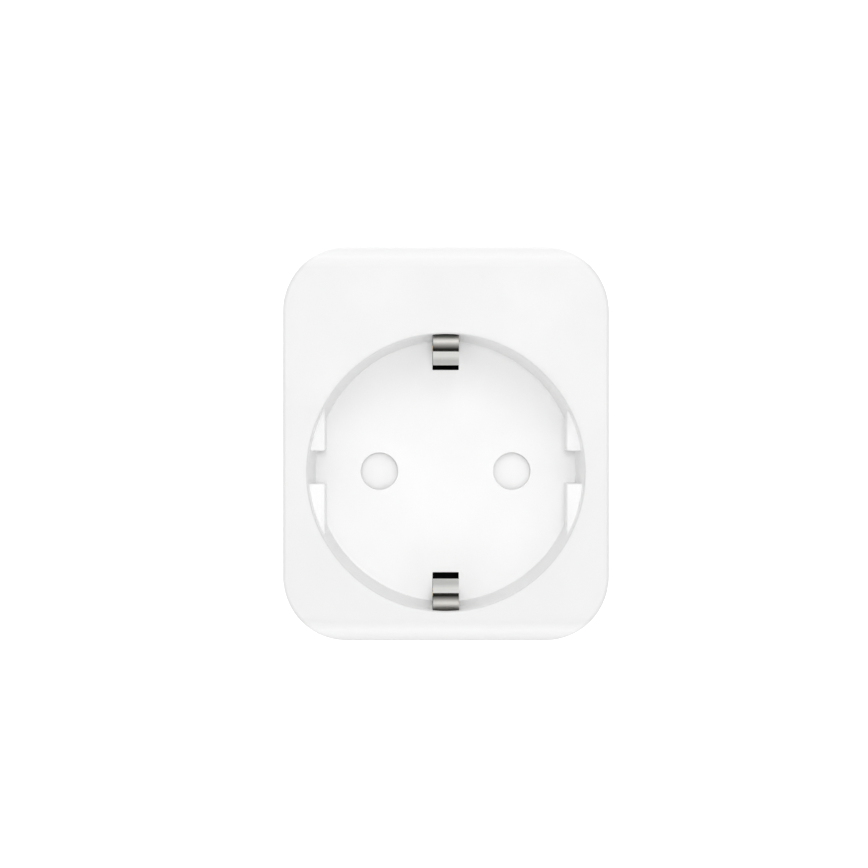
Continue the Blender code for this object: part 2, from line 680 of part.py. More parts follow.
def clip_path(side):
    """The middle line of an earth clip, as (y, z): roll, slope, contact bump and root."""
    roll_y = FACE + CLIP_ROLL_RECESS
    roll_z = SOCKET_RADIUS - CLIP_ROLL_RADIUS
    roll = arc((roll_y, roll_z), CLIP_ROLL_RADIUS - CLIP_THICKNESS / 2, 60, 300, 10)
    bump_y = FACE + CLIP_BUMP_RECESS
    bump_radius = 1.5
    bump = arc((bump_y, CLIP_BUMP_HEIGHT + bump_radius), bump_radius, 215, 315, 8)
    root = CLIP_ROOT_HEIGHT
    rest = [(bump_y + 5.0, root - 0.5), (bump_y + 7.5, root), (CLIP_PIVOT + 2.5, root)]
    return [(y, side * z) for y, z in roll + bump + rest]


def earth_clip(name, side):
    outline = ribbon(clip_path(side), CLIP_THICKNESS)
    clip = prism(name, outline, "X", (-CLIP_WIDTH / 2, CLIP_WIDTH / 2))
    keep(clip, name, NICKEL)
    pivot(f"{name}_pivot", (0, CLIP_PIVOT, side * CLIP_ROOT_HEIGHT), [clip])


def front_earth_yoke():
    legs = CLIP_PIVOT - 2.5
    path = [(legs, YOKE_HEIGHT), (FRONT_YOKE_BASE, YOKE_HEIGHT), (FRONT_YOKE_BASE, -YOKE_HEIGHT),
            (legs, -YOKE_HEIGHT)]
    yoke = prism("front_earth_yoke", ribbon(path, YOKE_THICKNESS), "X", (-2.3, 2.3))
    hole = (FRONT_YOKE_BASE - 1, FRONT_YOKE_BASE + 1)
    cut(yoke, rod("rivet_hole", 1.5, "Y", (0, 0), hole, 20))
    return keep(yoke, "front_earth_yoke", BRASS)


def insulating_card():
    """Keeps the earth yoke apart from the contact carrier, and closes the view through the clips' slots."""
    span = (CARRIER_BACK + CARD_GAP, CARRIER_BACK + CARD_GAP + CARD)
    reach = YOKE_HEIGHT - YOKE_THICKNESS / 2 - GAP
    card = box("insulating_card", (-CARD_HALF_WIDTH, CARD_HALF_WIDTH), span, (-reach, reach))
    hole = (CARRIER_BACK - 1, CARRIER_BACK + 2)
    cut(card, rod("rivet_hole", RIVET_HEAD_RADIUS + GAP, "Y", (0, 0), hole, 20))
    return keep(card, "insulating_card", BLACK)


def rear_earth_yoke():
    """The strip whose two ends are the plug's own earth contacts, bowed a little outward."""
    root = EARTH_GROOVE_FLOOR + 0.6
    tip = BOSS_LENGTH - 2.0
    foot = 1.0
    bow = [(tip - (tip - foot) * i / 5, root + EARTH_STRIP_BOW * sin(pi * i / 5)) for i in range(6)]
    half = bow + [(REAR_YOKE_BASE, root)]
    path = half + [(y, -z) for y, z in half[::-1]]
    yoke = prism("rear_earth_yoke", ribbon(path, YOKE_THICKNESS), "X", (-2.3, 2.3))
    hole = (REAR_YOKE_BASE - 1, REAR_YOKE_BASE + 1)
    cut(yoke, rod("rivet_hole", 1.5, "Y", (0, 0), hole, 20))
    return keep(yoke, "rear_earth_yoke", NICKEL)


def earth_rivet():
    """Joins the two earth yokes through the board."""
    front = FRONT_YOKE_BASE - YOKE_THICKNESS / 2 - GAP
    back = REAR_YOKE_BASE + YOKE_THICKNESS / 2 + GAP
    head = RIVET_HEAD_RADIUS
    profile = [(0, front - 0.7), (head, front - 0.7), (head, front), (1.2, front), (1.2, back), (head, back),
               (head, back + 0.7), (0, back + 0.7)]
    return keep(turned("earth_rivet", profile, "Y", (0, 0), 16), "earth_rivet", BRASS)


def french_earth_tube():
    """Takes the earth pin of the other socket pattern that the plug fits."""
    inner = FRENCH_EARTH_RADIUS - FRENCH_EARTH_WALL
    front = REAR_YOKE_BASE + YOKE_THICKNESS / 2 + GAP
    back = BOSS_INNER_END - 0.4
    profile = [(inner, front), (FRENCH_EARTH_RADIUS, front), (FRENCH_EARTH_RADIUS, back), (inner, back)]
    tube = turned("french_earth_tube", profile, "Y", (0, FRENCH_EARTH_HEIGHT), 24, ring=True)
    return keep(tube, "french_earth_tube", NICKEL)


def plug_pin(name, side):
    end = BOSS_LENGTH + PIN_LENGTH
    collar = BOSS_INNER_END - GAP
    tip_round = 1.4
    nose = arc((end - tip_round, PIN_RADIUS - tip_round), tip_round, 90, 0, 5)
    profile = [(0, PIN_STRIP[1] + GAP), (1.5, PIN_STRIP[1] + GAP), (1.5, collar - 0.9), (3.5, collar - 0.9),
               (3.5, collar), (PIN_RADIUS, collar)]
    profile += [(radius, along) for along, radius in nose] + [(0, end)]
    return keep(turned(name, profile, "Y", (side * PIN_X, 0), 24), name, NICKEL)


def pin_terminal(name, side):
    """A strip behind a pin's shank, bent forward through the board."""
    strip = (PIN_STRIP[0] + PIN_STRIP[1]) / 2
    thickness = PIN_STRIP[1] - PIN_STRIP[0]
    path = [(strip, 1.8), (strip, PIN_LEG_Z), (BOARD_FRONT - 0.8, PIN_LEG_Z)]
    width = (side * PIN_X - 1.2, side * PIN_X + 1.2)
    return keep(prism(name, ribbon(path, thickness), "X", width), name, BRASS)


# ---------------------------------------------------------------- circuit boards and their parts

def main_board():
    inset = WALL + BOARD_MARGIN
    board = prism("main_pcb", body_outline(inset), "Y", (BOARD_FRONT, BOARD_BACK))
    through = (BOARD_FRONT - 1, BOARD_BACK + 1)
    for centre in post_places():
        cut(board, rod("post_notch", REAR_POST_RADIUS + 0.4, "Y", centre, through, 20))
    for side in (-1, 1):
        middle = side * PIN_X
        window = (middle - CONTACT_WINDOW, middle + CONTACT_WINDOW)
        cut(board, box("contact_window", window, through, (-3.2, 3.2)))
        leg = (middle - 1.6, middle + 1.6)
        cut(board, box("leg_slot", leg, through, (PIN_LEG_Z - 0.8, PIN_LEG_Z + 0.8)))
    cut(board, box("earth_opening", (-3, 3), through, (-3, 3)))
    slot_z = (CONTROL_BOTTOM - 0.4, CONTROL_TOP + 0.4)
    cut(board, box("tongue_slot", (TONGUE[0] - 0.3, TONGUE[1] + 0.3), through, slot_z))
    return keep(board, "main_pcb", BOARD_GREEN)


def control_board():
    """The small board under the top wall, with a tongue that plugs into the main board."""
    side = HALF_WIDTH - WALL - 0.8
    outline = [(-side, CONTROL_FRONT), (side, CONTROL_FRONT), (side, CONTROL_BACK), (TONGUE[1], CONTROL_BACK),
               (TONGUE[1], BOARD_BACK + 0.6), (TONGUE[0], BOARD_BACK + 0.6), (TONGUE[0], CONTROL_BACK),
               (-side, CONTROL_BACK)]
    board = prism("control_pcb", outline, "Z", (CONTROL_BOTTOM, CONTROL_TOP))
    return keep(board, "control_pcb", BOARD_GREEN)


def relay():
    """The mains relay: base, cover, coil and the armature that closes its contacts."""
    xs = (-13.6, 4.0)
    zs = (INNER_TOP - 11.5, INNER_TOP - 1.5)
    base_top = PARTS_FOOT - 1.2
    front = PARTS_FOOT - 12.0
    keep(box("relay_base", xs, (base_top, PARTS_FOOT), zs), "relay_base", BLACK)
    case = box("relay_case", xs, (front, base_top - GAP), zs)
    wall = 0.8
    inside_x = (xs[0] + wall, xs[1] - wall)
    inside_z = (zs[0] + wall, zs[1] - wall)
    cut(case, box("relay_space", inside_x, (front + wall, base_top + 1), inside_z))
    keep(case, "relay_case", RELAY_BLUE)
    middle = (front + base_top) / 2
    height = sum(zs) / 2
    start = inside_x[0] + 0.6
    end = start + 9.4
    spool = [(0, start), (4.0, start), (4.0, start + 0.7), (3.3, start + 0.7), (3.3, end - 0.7), (4.0, end - 0.7),
             (4.0, end), (1.2, end), (1.2, end + 0.3), (0, end + 0.3)]
    keep(turned("relay_coil", spool, "X", (middle, height), 20), "relay_coil", COPPER)
    hinge_x = end + 1.5
    hinge_y = base_top - GAP - 1.2
    plate = ((hinge_x - 0.4, hinge_x + 0.4), (middle - 3.8, hinge_y), (height - 3.0, height + 3.0))
    armature = keep(box("relay_armature", *plate), "relay_armature", STEEL)
    pivot("relay_armature_pivot", (hinge_x, hinge_y, height), [armature])


def block(name, centre, size, skin):
    """A flat package on the main board: centre (x, z), size (width, height above board, depth)."""
    x, z = centre
    width, tall, deep = size
    spans = ((x - width / 2, x + width / 2), (PARTS_FOOT - tall, PARTS_FOOT), (z - deep / 2, z + deep / 2))
    return keep(box(name, *spans), name, skin)


def can(name, centre, radius, tall, skin):
    """A round capacitor, choke or resistor that stands on the main board, with a rolled edge."""
    front = PARTS_FOOT - tall
    edge = radius * 0.12
    neck = front + tall * 0.82
    profile = [(0, front), (radius - edge, front), (radius, front + edge), (radius, neck),
               (radius - edge, neck + edge), (radius, neck + 2 * edge), (radius, PARTS_FOOT), (0, PARTS_FOOT)]
    return keep(turned(name, profile, "Y", centre, 18), name, skin)


def varistor():
    inner_wall = -(HALF_WIDTH - WALL - BOARD_MARGIN)
    centre = (PARTS_FOOT - 5.1, 2.0)
    disc = [(0, inner_wall), (4.2, inner_wall), (4.8, inner_wall + 0.8), (4.8, inner_wall + 2.2),
            (4.2, inner_wall + 3.0), (0, inner_wall + 3.0)]
    return keep(turned("varistor", disc, "X", centre, 24), "varistor", VARISTOR_BLUE)


def current_shunt():
    """A flat metal bridge whose small voltage drop gives the current."""
    foot = PARTS_FOOT
    path = [(12.2, foot), (12.2, foot - 3.2), (17.2, foot - 3.2), (17.2, foot)]
    return keep(prism("current_shunt", ribbon(path, 0.6), "Z", (-13.4, -11.0)), "current_shunt", COPPER)


def main_board_parts():
    beside_contact = PIN_X + CONTACT_FOOT + GAP
    beside_lip = HALF_WIDTH - WALL - SLIP - LIP_THICKNESS - GAP
    film_x = (beside_contact + beside_lip) / 2
    film_width = beside_lip - beside_contact
    low = BOTTOM + WALL + 4.1
    can("hv_capacitor", (15.3, 13.2), 4.0, 12.0, SLEEVE)
    can("lv_capacitor", (9.5, low), 2.5, 11.0, SLEEVE)
    can("filter_choke", (-9.5, low), 2.8, 5.0, BLACK)
    can("fusible_resistor", (-14.8, 13.2), 1.3, 7.5, RESISTOR)
    block("x2_capacitor", (film_x, -0.5), (film_width, 9.1, 13.0), FILM_GREY)
    block("bridge_rectifier", (-16.9, -9.1), (4.6, 2.5, 5.8), BLACK)
    block("metering_ic", (9.5, 17.8), (5.0, 1.2, 4.0), BLACK)
    block("supply_ic", (-6.0, low + 4.8), (5.0, 1.2, 4.0), BLACK)
    varistor()
    current_shunt()


def power_button():
    flange_top = INNER_TOP - 0.4
    flange_bottom = flange_top - 0.8
    dome = TOP - BUTTON_RECESS
    profile = [(0, PLUNGER_TOP + GAP), (1.5, PLUNGER_TOP + GAP), (1.5, flange_bottom),
               (BUTTON_FLANGE_RADIUS, flange_bottom), (BUTTON_FLANGE_RADIUS, flange_top),
               (BUTTON_RADIUS, flange_top), (BUTTON_RADIUS, dome - 0.4), (BUTTON_RADIUS - 0.4, dome), (0, dome)]
    return keep(turned("power_button", profile, "Z", (0, BUTTON_Y), 28), "power_button", WHITE)


def tact_switch():
    half = SWITCH_SIZE / 2
    height = CONTROL_FOOT + SWITCH_HEIGHT
    body = box("tact_switch", (-half, half), (BUTTON_Y - half, BUTTON_Y + half), (CONTROL_FOOT, height))
    cut(body, rod("plunger_bore", PLUNGER_RADIUS + 0.3, "Z", (0, BUTTON_Y), (height - 2.0, height + 1), 20))
    keep(body, "tact_switch", BLACK)
    plunger = rod("switch_plunger", PLUNGER_RADIUS, "Z", (0, BUTTON_Y), (height - 1.4, PLUNGER_TOP), 20)
    keep(plunger, "switch_plunger", BLACK)


def light_path():
    """The status light and the clear pipe that carries it through the top wall."""
    led_top = CONTROL_FOOT + 1.1
    led = box("status_led", (PIPE_X - 1.0, PIPE_X + 1.0), (BUTTON_Y - 0.7, BUTTON_Y + 0.7), (CONTROL_FOOT, led_top))
    keep(led, "status_led", LED_BODY)
    flange = (INNER_TOP - GAP - 1.0, INNER_TOP - GAP)
    profile = [(0, led_top + 0.6), (PIPE_RADIUS, led_top + 0.6), (PIPE_RADIUS, flange[0]),
               (PIPE_RADIUS + 0.7, flange[0]), (PIPE_RADIUS + 0.7, flange[1]), (PIPE_RADIUS, flange[1]),
               (PIPE_RADIUS, TOP), (0, TOP)]
    keep(turned("light_pipe", profile, "Z", (PIPE_X, BUTTON_Y), 16), "light_pipe", CLEAR)


def radio():
    xs = (-14.2, -4.2)
    ys = (CONTROL_FRONT + 2.4, CONTROL_BACK - 2.4)
    card_top = CONTROL_FOOT + 0.8
    keep(box("radio_module", xs, ys, (CONTROL_FOOT, card_top)), "radio_module", BOARD_GREEN)
    lid_x = (xs[0] + 0.8, xs[1] - 0.8)
    lid_y = (ys[0] + 3.0, ys[1] - 0.6)
    keep(box("radio_shield", lid_x, lid_y, (card_top + GAP, card_top + GAP + 2.0)), "radio_shield", STEEL)


def build():
    front_cover()
    rear_housing()
    housing_screws()
    contact_carrier()
    carrier_screws()
    pivot("shutter_pivot", (0, SHUTTER_FRONT, 0), [shutter()])
    shutter_spring()
    for name, side in (("live", 1), ("neutral", -1)):
        socket_contact(f"{name}_contact", side)
        plug_pin(f"{name}_pin", side)
        pin_terminal(f"{name}_pin_terminal", side)
    earth_clip("earth_clip_top", 1)
    earth_clip("earth_clip_bottom", -1)
    insulating_card()
    front_earth_yoke()
    rear_earth_yoke()
    earth_rivet()
    french_earth_tube()
    main_board()
    main_board_parts()
    relay()
    control_board()
    power_button()
    tact_switch()
    light_path()
    radio()


build()
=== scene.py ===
"""The looks of a plug-in power meter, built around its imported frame.

A white plug-through adaptor: the front cover with its recessed socket, the rear housing with the plug,
nickel-plated pins, earth clips and earth strips, a button, a light pipe and screws. All in metres,
with the socket's axis along Y through the origin, -Y towards the user and +Z up.
"""

import bmesh
import bpy
import numpy as np
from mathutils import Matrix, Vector


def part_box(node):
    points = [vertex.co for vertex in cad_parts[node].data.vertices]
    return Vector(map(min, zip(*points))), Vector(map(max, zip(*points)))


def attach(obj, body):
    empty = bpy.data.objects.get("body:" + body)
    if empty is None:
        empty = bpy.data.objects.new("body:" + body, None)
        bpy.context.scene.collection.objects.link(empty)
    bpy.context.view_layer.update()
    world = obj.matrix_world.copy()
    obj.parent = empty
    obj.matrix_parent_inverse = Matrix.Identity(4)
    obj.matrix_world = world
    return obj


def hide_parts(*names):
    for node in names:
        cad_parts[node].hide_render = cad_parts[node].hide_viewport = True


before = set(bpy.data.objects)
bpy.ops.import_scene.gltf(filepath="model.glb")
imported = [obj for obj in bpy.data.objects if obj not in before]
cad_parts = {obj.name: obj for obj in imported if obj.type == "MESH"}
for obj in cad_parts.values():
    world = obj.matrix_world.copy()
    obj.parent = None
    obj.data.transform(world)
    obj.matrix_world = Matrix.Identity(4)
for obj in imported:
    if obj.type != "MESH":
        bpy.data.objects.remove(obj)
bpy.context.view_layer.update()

MM = 0.001

# Places and sizes that the frame gives.
COVER_LOW, COVER_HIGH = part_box("front_cover")
REAR_LOW, REAR_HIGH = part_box("rear_housing")
CLIP_LOW, CLIP_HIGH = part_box("earth_clip_top")
PIN_LOW, PIN_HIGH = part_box("live_pin")
SHUTTER_LOW, SHUTTER_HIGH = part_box("shutter")
BUTTON_LOW, BUTTON_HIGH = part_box("power_button")
PIPE_LOW, PIPE_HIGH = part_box("light_pipe")
STRIP_LOW, STRIP_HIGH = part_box("rear_earth_yoke")
TUBE_LOW, TUBE_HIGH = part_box("french_earth_tube")

FACE = COVER_LOW.y
SEAM = COVER_HIGH.y
HALF_WIDTH = COVER_HIGH.x
TOP = COVER_HIGH.z
BOTTOM = COVER_LOW.z
MIDDLE_Z = (TOP + BOTTOM) / 2
HALF_HEIGHT = (TOP - BOTTOM) / 2
LIP_TIP = REAR_LOW.y
BOSS_END = REAR_HIGH.y
PIN_X = (PIN_LOW.x + PIN_HIGH.x) / 2
MOUTH_RADIUS = CLIP_HIGH.z
CLIP_HALF = CLIP_HIGH.x
BUTTON_Y = (BUTTON_LOW.y + BUTTON_HIGH.y) / 2
PIPE_X = (PIPE_LOW.x + PIPE_HIGH.x) / 2

# Moulded sizes that repeat the frame's own.
CORNER = 9.2 * MM
CROWN = 3.0 * MM
WALL = 1.8 * MM
SEAM_GAP = 0.3 * MM
RECESS_DEPTH = 17.5 * MM
RECESS_DRAFT = 0.8 * MM
FLOOR_WALL = 1.4 * MM
FLOOR = FACE + RECESS_DEPTH
FLOOR_BACK = FLOOR + FLOOR_WALL
PIN_RADIUS = 2.4 * MM
PIN_HOLE = 2.65 * MM
GUIDE_HALF_GAP = 17.2 * MM
GUIDE_RECESS = 4.5 * MM
GUIDE_SLOT = (-1.6 * MM, 3.0 * MM)
SLOT_HEIGHT = 14.5 * MM
CLIP_STRIP = 0.5 * MM
CLIP_ROLL = 1.33 * MM
CLIP_ROLL_DEPTH = 3.1 * MM
CLIP_RISE = 0.15 * MM
CLIP_BUMP_DEPTH = 7.0 * MM
CLIP_BUMP_RADIUS = 1.5 * MM
CLIP_BUMP_HEIGHT = 15.35 * MM
CLIP_ROOT_HEIGHT = 16.95 * MM
CUP_WALL = 1.5 * MM
POST_RADIUS = 2.3 * MM
REAR_POST_RADIUS = 3.0 * MM
SCREW_WAY = 1.2 * MM
SCREW_HEAD_WAY = 2.0 * MM
SCREW_SEAT = 5.4 * MM
BOSS_RADIUS = 18.3 * MM
BOSS_FLAT = 16.4 * MM
BOSS_RIDGE = 1.4 * MM
GROOVE_HALF = 3.0 * MM
GROOVE_FLOOR = 14.4 * MM
BOSS_END_WALL = 1.8 * MM
BOSS_HOLLOW = 13.2 * MM
TUBE_WALL = 0.45 * MM
TUBE_WAY = 2.75 * MM
HUB_RADIUS = 4.6 * MM
HUB_BORE = 2.15 * MM
BUTTON_RADIUS = 3.5 * MM
BUTTON_WAY = 3.75 * MM
PIPE_RADIUS = 1.1 * MM
PIPE_WAY = 1.2 * MM
EDGE = 0.45 * MM
TINY = 0.001 * MM    # radius of the ring that closes a turned piece on its axis


# ---------------------------------------------------------------- surfaces

def surface(name, grid, wrap=True, ends=True, run=None):
    """A mesh through a grid of points [row, column].

    Neighbouring rows and columns are joined by four-sided faces. wrap joins the last column to the
    first, and ends closes the first and the last row with a flat face each. run gives each row a
    number that a material can read.
    """
    rows, columns, _ = grid.shape
    index = np.arange(rows * columns).reshape(rows, columns)
    beside = np.roll(index, -1, axis=1)
    quads = np.stack([index[:-1], beside[:-1], beside[1:], index[1:]], axis=-1)
    if not wrap:
        quads = quads[:, :-1]
    faces = quads.reshape(-1, 4).tolist()
    if ends:
        faces += [index[0][::-1].tolist(), index[-1].tolist()]
    mesh = bpy.data.meshes.new(name)
    mesh.from_pydata(grid.reshape(-1, 3), [], faces)
    if run is not None:
        mesh.attributes.new("run", "FLOAT", "POINT").data.foreach_set("value", np.repeat(run, columns))
    bm = bmesh.new()
    bm.from_mesh(mesh)
    bmesh.ops.remove_doubles(bm, verts=bm.verts, dist=0.5e-6)
    bmesh.ops.recalc_face_normals(bm, faces=bm.faces)
    bm.to_mesh(mesh)
    bm.free()
    piece = bpy.data.objects.new(name, mesh)
    bpy.context.scene.collection.objects.link(piece)
    return piece


def around(profile, centre, axis="Y", columns=96):
    """A turned grid: each profile point (radius, place) makes a ring about an axis.

    A ring's point at angle a lies radius * cos a to the right and radius * sin a up from the centre.
    """
    radius, along = np.asarray(profile, float).T
    angle = np.linspace(0, 2 * np.pi, columns, endpoint=False)
    across = centre[0] + np.outer(radius, np.cos(angle))
    up = centre[1] + np.outer(radius, np.sin(angle))
    place = np.repeat(along[:, None], columns, axis=1)
    order = {"Y": (across, place, up), "Z": (across, up, place), "X": (place, across, up)}
    return np.stack(order[axis], axis=-1)


def quarter(start, end, corner, steps=6):
    """A rounded corner from start to end: a quarter ellipse whose tangents meet at the corner.

    At angle t the point is end + start - corner turned into start * cos t and end * sin t about the
    ellipse's centre.
    """
    start, end, corner = (np.asarray(p, float) for p in (start, end, corner))
    centre = start + end - corner
    turn = np.linspace(0, np.pi / 2, steps + 1)[:, None]
    return centre + (start - centre) * np.cos(turn) + (end - centre) * np.sin(turn)


def rounded_block(name, low, high, radius, steps=4):
    """A box with rounded edges: a small sphere whose eight parts are pulled apart to the corners.

    A point in direction n from the sphere's centre lands at the corner on its side, plus radius * n.
    """
    low, high = np.asarray(low, float), np.asarray(high, float)
    low, high = np.minimum(low, high), np.maximum(low, high)
    eighth = np.linspace(0, np.pi / 2, steps + 1)
    turn = np.concatenate([eighth + k * np.pi / 2 for k in range(4)])
    quadrant = np.repeat(np.arange(4), steps + 1)
    tilt = np.concatenate([eighth, eighth + np.pi / 2])
    lower = np.repeat([0, 1], steps + 1)
    n = np.stack([np.outer(np.sin(tilt), np.cos(turn)), np.outer(np.sin(tilt), np.sin(turn)),
                  np.repeat(np.cos(tilt)[:, None], len(turn), axis=1)], axis=-1)
    side = np.empty_like(n)
    side[..., 0] = np.where((quadrant == 0) | (quadrant == 3), 1, -1)[None, :]
    side[..., 1] = np.where(quadrant < 2, 1, -1)[None, :]
    side[..., 2] = np.where(lower == 0, 1, -1)[:, None]
    grid = (low + high) / 2 + side * ((high - low) / 2 - radius) + radius * n
    return surface(name, grid)


def combine(piece, tool, operation):
    """Adds a tool to a piece's list of work: it is joined to the piece or cut from it."""
    step = piece.modifiers.new(tool.name, "BOOLEAN")
    step.operation = operation
    step.solver = "EXACT"
    step.object = tool
    return tool


def settle(piece, tools, angle=32):
    """Makes the piece's worked shape its own mesh, removes the tools and shades it smooth."""
    bpy.context.view_layer.update()
    seen = piece.evaluated_get(bpy.context.evaluated_depsgraph_get())
    shape = bpy.data.meshes.new_from_object(seen)
    piece.modifiers.clear()
    piece.data = shape
    shape.name = piece.name
    for tool in tools:
        bpy.data.objects.remove(tool)
    return soften(piece, angle)


def soften(piece, angle=32):
    """Smooth shading, with edges sharper than the angle kept crisp."""
    piece.data.shade_smooth()
    piece.data.set_sharp_from_angle(angle=np.radians(angle))
    return piece


def carve(piece, *tools):
    return [combine(piece, tool, "DIFFERENCE") for tool in tools]


def fuse(piece, *tools):
    return [combine(piece, tool, "UNION") for tool in tools]


def finish(piece, skin, slot, body, *nodes):
    """Gives a piece its material and its place on a body, in the stead of CAD nodes."""
    piece.data.materials.clear()
    piece.data.materials.append(skin)
    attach(piece, body)
    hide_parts(*nodes)
    return piece


# ---------------------------------------------------------------- housing outline

def outline(inset, columns=96):
    """The housing's outline seen from the front, a distance inside its outer wall, as (x, z) points.

    Four quarter circles of one radius about the corner centres, joined by straight runs; each corner
    and each run has its own share of the points.
    """
    radius = CORNER - inset
    right = HALF_WIDTH - CORNER
    high = HALF_HEIGHT - CORNER
    corners = np.array([(right, high), (-right, high), (-right, -high), (right, -high)])
    turn = np.linspace(0, np.pi / 2, columns // 4)
    arcs = []
    for k, corner in enumerate(corners):
        angle = turn + k * np.pi / 2
        arcs.append(corner + radius * np.stack([np.cos(angle), np.sin(angle)], axis=-1))
    loops = []
    run = np.linspace(0, 1, 14)[1:-1, None]
    for k, arc in enumerate(arcs):
        after = arcs[(k + 1) % 4][0]
        loops += [arc, arc[-1] + (after - arc[-1]) * run]
    loop = np.concatenate(loops)
    return loop + (0, MIDDLE_Z)


def crown_depth(z):
    """How far the face drops back near its top and bottom edges: r - sqrt(r^2 - d^2) past r from the edge."""
    past = np.abs(z - MIDDLE_Z) - (HALF_HEIGHT - CROWN)
    past = np.clip(past, 0, CROWN)
    return CROWN - np.sqrt(CROWN ** 2 - past ** 2)


def cover_block():
    """The solid outer form of the front cover.

    Rings shrink from the middle of the face to the outline; every ring drops back by the crown's
    depth, the last ones also round the edge, and the wall then runs straight back to the seam.
    """
    inner = outline(EDGE)
    middle = np.array([0, MIDDLE_Z])
    spread = 1 - np.linspace(1, 0, 56) ** 1.7
    rings = []
    for share in 0.5 + 0.5 * spread:
        flat = middle + (inner - middle) * share
        rings.append(np.column_stack([flat[:, 0], FACE + crown_depth(flat[:, 1]), flat[:, 1]]))
    for turn in np.linspace(0, np.pi / 2, 9)[1:]:
        flat = outline(EDGE * (1 - np.sin(turn)))
        depth = FACE + crown_depth(flat[:, 1]) + EDGE * (1 - np.cos(turn))
        rings.append(np.column_stack([flat[:, 0], depth, flat[:, 1]]))
    edge = rings[-1]
    lip = 0.15 * MM
    for share in np.linspace(0, 1, 12)[1:]:
        depth = edge[:, 1] + (SEAM - lip - edge[:, 1]) * share
        rings.append(np.column_stack([edge[:, 0], depth, edge[:, 2]]))
    for turn in np.linspace(0, np.pi / 2, 5)[1:]:
        flat = outline(lip * (1 - np.cos(turn)))
        depth = np.full(len(flat), SEAM - lip + lip * np.sin(turn))
        rings.append(np.column_stack([flat[:, 0], depth, flat[:, 1]]))
    return surface("cover_shell", np.stack(rings))


def prism(name, loops, places):
    """A solid between outlines: each (x, z) loop is set at its own place along Y."""
    grid = [np.column_stack([loop[:, 0], np.full(len(loop), y), loop[:, 1]]) for loop, y in zip(loops, places)]
    return surface(name, np.stack(grid))


# ---------------------------------------------------------------- front cover and its socket

def recess_radius(y):
    """The socket's radius at a depth: it narrows evenly from mouth to floor."""
    return MOUTH_RADIUS - RECESS_DRAFT * (y - FACE) / RECESS_DEPTH


def recess_space():
    """The turned space of the socket, with a rolled mouth and a small fillet at the floor."""
    roll = 0.22 * MM
    fillet = 0.1 * MM
    turn = np.radians(np.linspace(12, 90, 7))
    flare = roll * 2
    mouth = MOUTH_RADIUS + roll * (1 - np.sin(turn))
    mouth_y = FACE + roll * (1 - np.cos(turn))
    slope = (np.cos(turn[0]), np.sin(turn[0]))
    start = (mouth[0] + flare * slope[0], mouth_y[0] - flare * slope[1])
    deep_y = FLOOR - fillet
    deep = recess_radius(deep_y)
    floor_round = quarter((deep, deep_y), (deep - fillet, FLOOR), (deep, FLOOR), 5)
    wall = [(recess_radius(y), y) for y in np.linspace(mouth_y[-1], deep_y, 12)[1:-1]]
    profile = [start, *zip(mouth, mouth_y), *wall, *floor_round]
    return surface("recess_space", around(profile, (0, 0), columns=256))


def guide_block(side, low, high):
    """One guide block at the side of the socket, upright, where its drafted face stands at half depth."""
    inner = side * (GUIDE_HALF_GAP - 0.15 * MM)
    outer = side * (MOUTH_RADIUS + 3 * MM)
    near = (inner, FACE + GUIDE_RECESS, low)
    far = (outer, FLOOR + 2 * MM, high)
    return rounded_block("guide_block", near, far, 0.22 * MM)


def pin_hole_space(side):
    """A pin hole through the floor with a rolled edge."""
    roll = 0.1 * MM
    start = FLOOR - 1 * MM
    edge = quarter((PIN_HOLE + roll, FLOOR - 0.02 * MM), (PIN_HOLE, FLOOR + roll), (PIN_HOLE, FLOOR), 4)
    profile = [(PIN_HOLE + roll, start), *edge, (PIN_HOLE, FLOOR_BACK + 1 * MM)]
    return surface("pin_hole_space", around(profile, (side * PIN_X, 0), columns=64))


def post_places():
    """Where the four housing screws stand, as (x, z), from the screws themselves."""
    boxes = [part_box(f"housing_screw_{number}") for number in range(1, 5)]
    return [((low.x + high.x) / 2, (low.z + high.z) / 2) for low, high in boxes]


def front_cover():
    """The front cover: its outer form less the space behind its walls, with the socket's cup and the posts.

    The recess is cut from the cup with the guide blocks left standing in it, and then the clip
    channels, the pin holes and the ways for the button and the light pipe.
    """
    shell = cover_block()
    inner = outline(WALL, 48)
    tools = carve(shell, prism("cover_hollow", [inner, inner], (FACE + WALL, SEAM + 1 * MM)))
    cup_front = FACE + WALL / 2
    cup = [(recess_radius(y) + CUP_WALL, y) for y in (cup_front, FLOOR_BACK)]
    tools += fuse(shell, surface("cup", around(cup, (0, 0), columns=128)))
    for place in post_places():
        post = [(POST_RADIUS, cup_front), (POST_RADIUS, SEAM - SEAM_GAP)]
        tools += fuse(shell, surface("post", around(post, place, columns=32)))
    space = recess_space()
    low, high = GUIDE_SLOT
    reach = MOUTH_RADIUS * 0.7
    guides = []
    for side in (-1, 1):
        guides += carve(space, guide_block(side, high, reach), guide_block(side, -reach, low))
    tools += carve(shell, space)
    half = CLIP_HALF + 0.06 * MM
    for side in (-1, 1):
        near = (-half, FACE + 1.2 * MM, side * SLOT_HEIGHT)
        far = (half, FLOOR_BACK + 1 * MM, side * (MOUTH_RADIUS + 2.2 * MM))
        tools += carve(shell, rounded_block("clip_channel", near, far, 0.12 * MM))
        tools += carve(shell, pin_hole_space(side))
    for name, x, radius in (("button_space", 0.0, BUTTON_WAY), ("pipe_space", PIPE_X, PIPE_WAY)):
        roll = 0.18 * MM
        edge = quarter((radius + roll, TOP + 0.01 * MM), (radius, TOP - roll), (radius, TOP), 4)
        profile = [(radius + roll, TOP + 1 * MM), *edge, (radius, TOP - WALL - 1 * MM)]
        tools += carve(shell, surface(name, around(profile, (x, BUTTON_Y), "Z", 72)))
    return settle(shell, tools + guides)


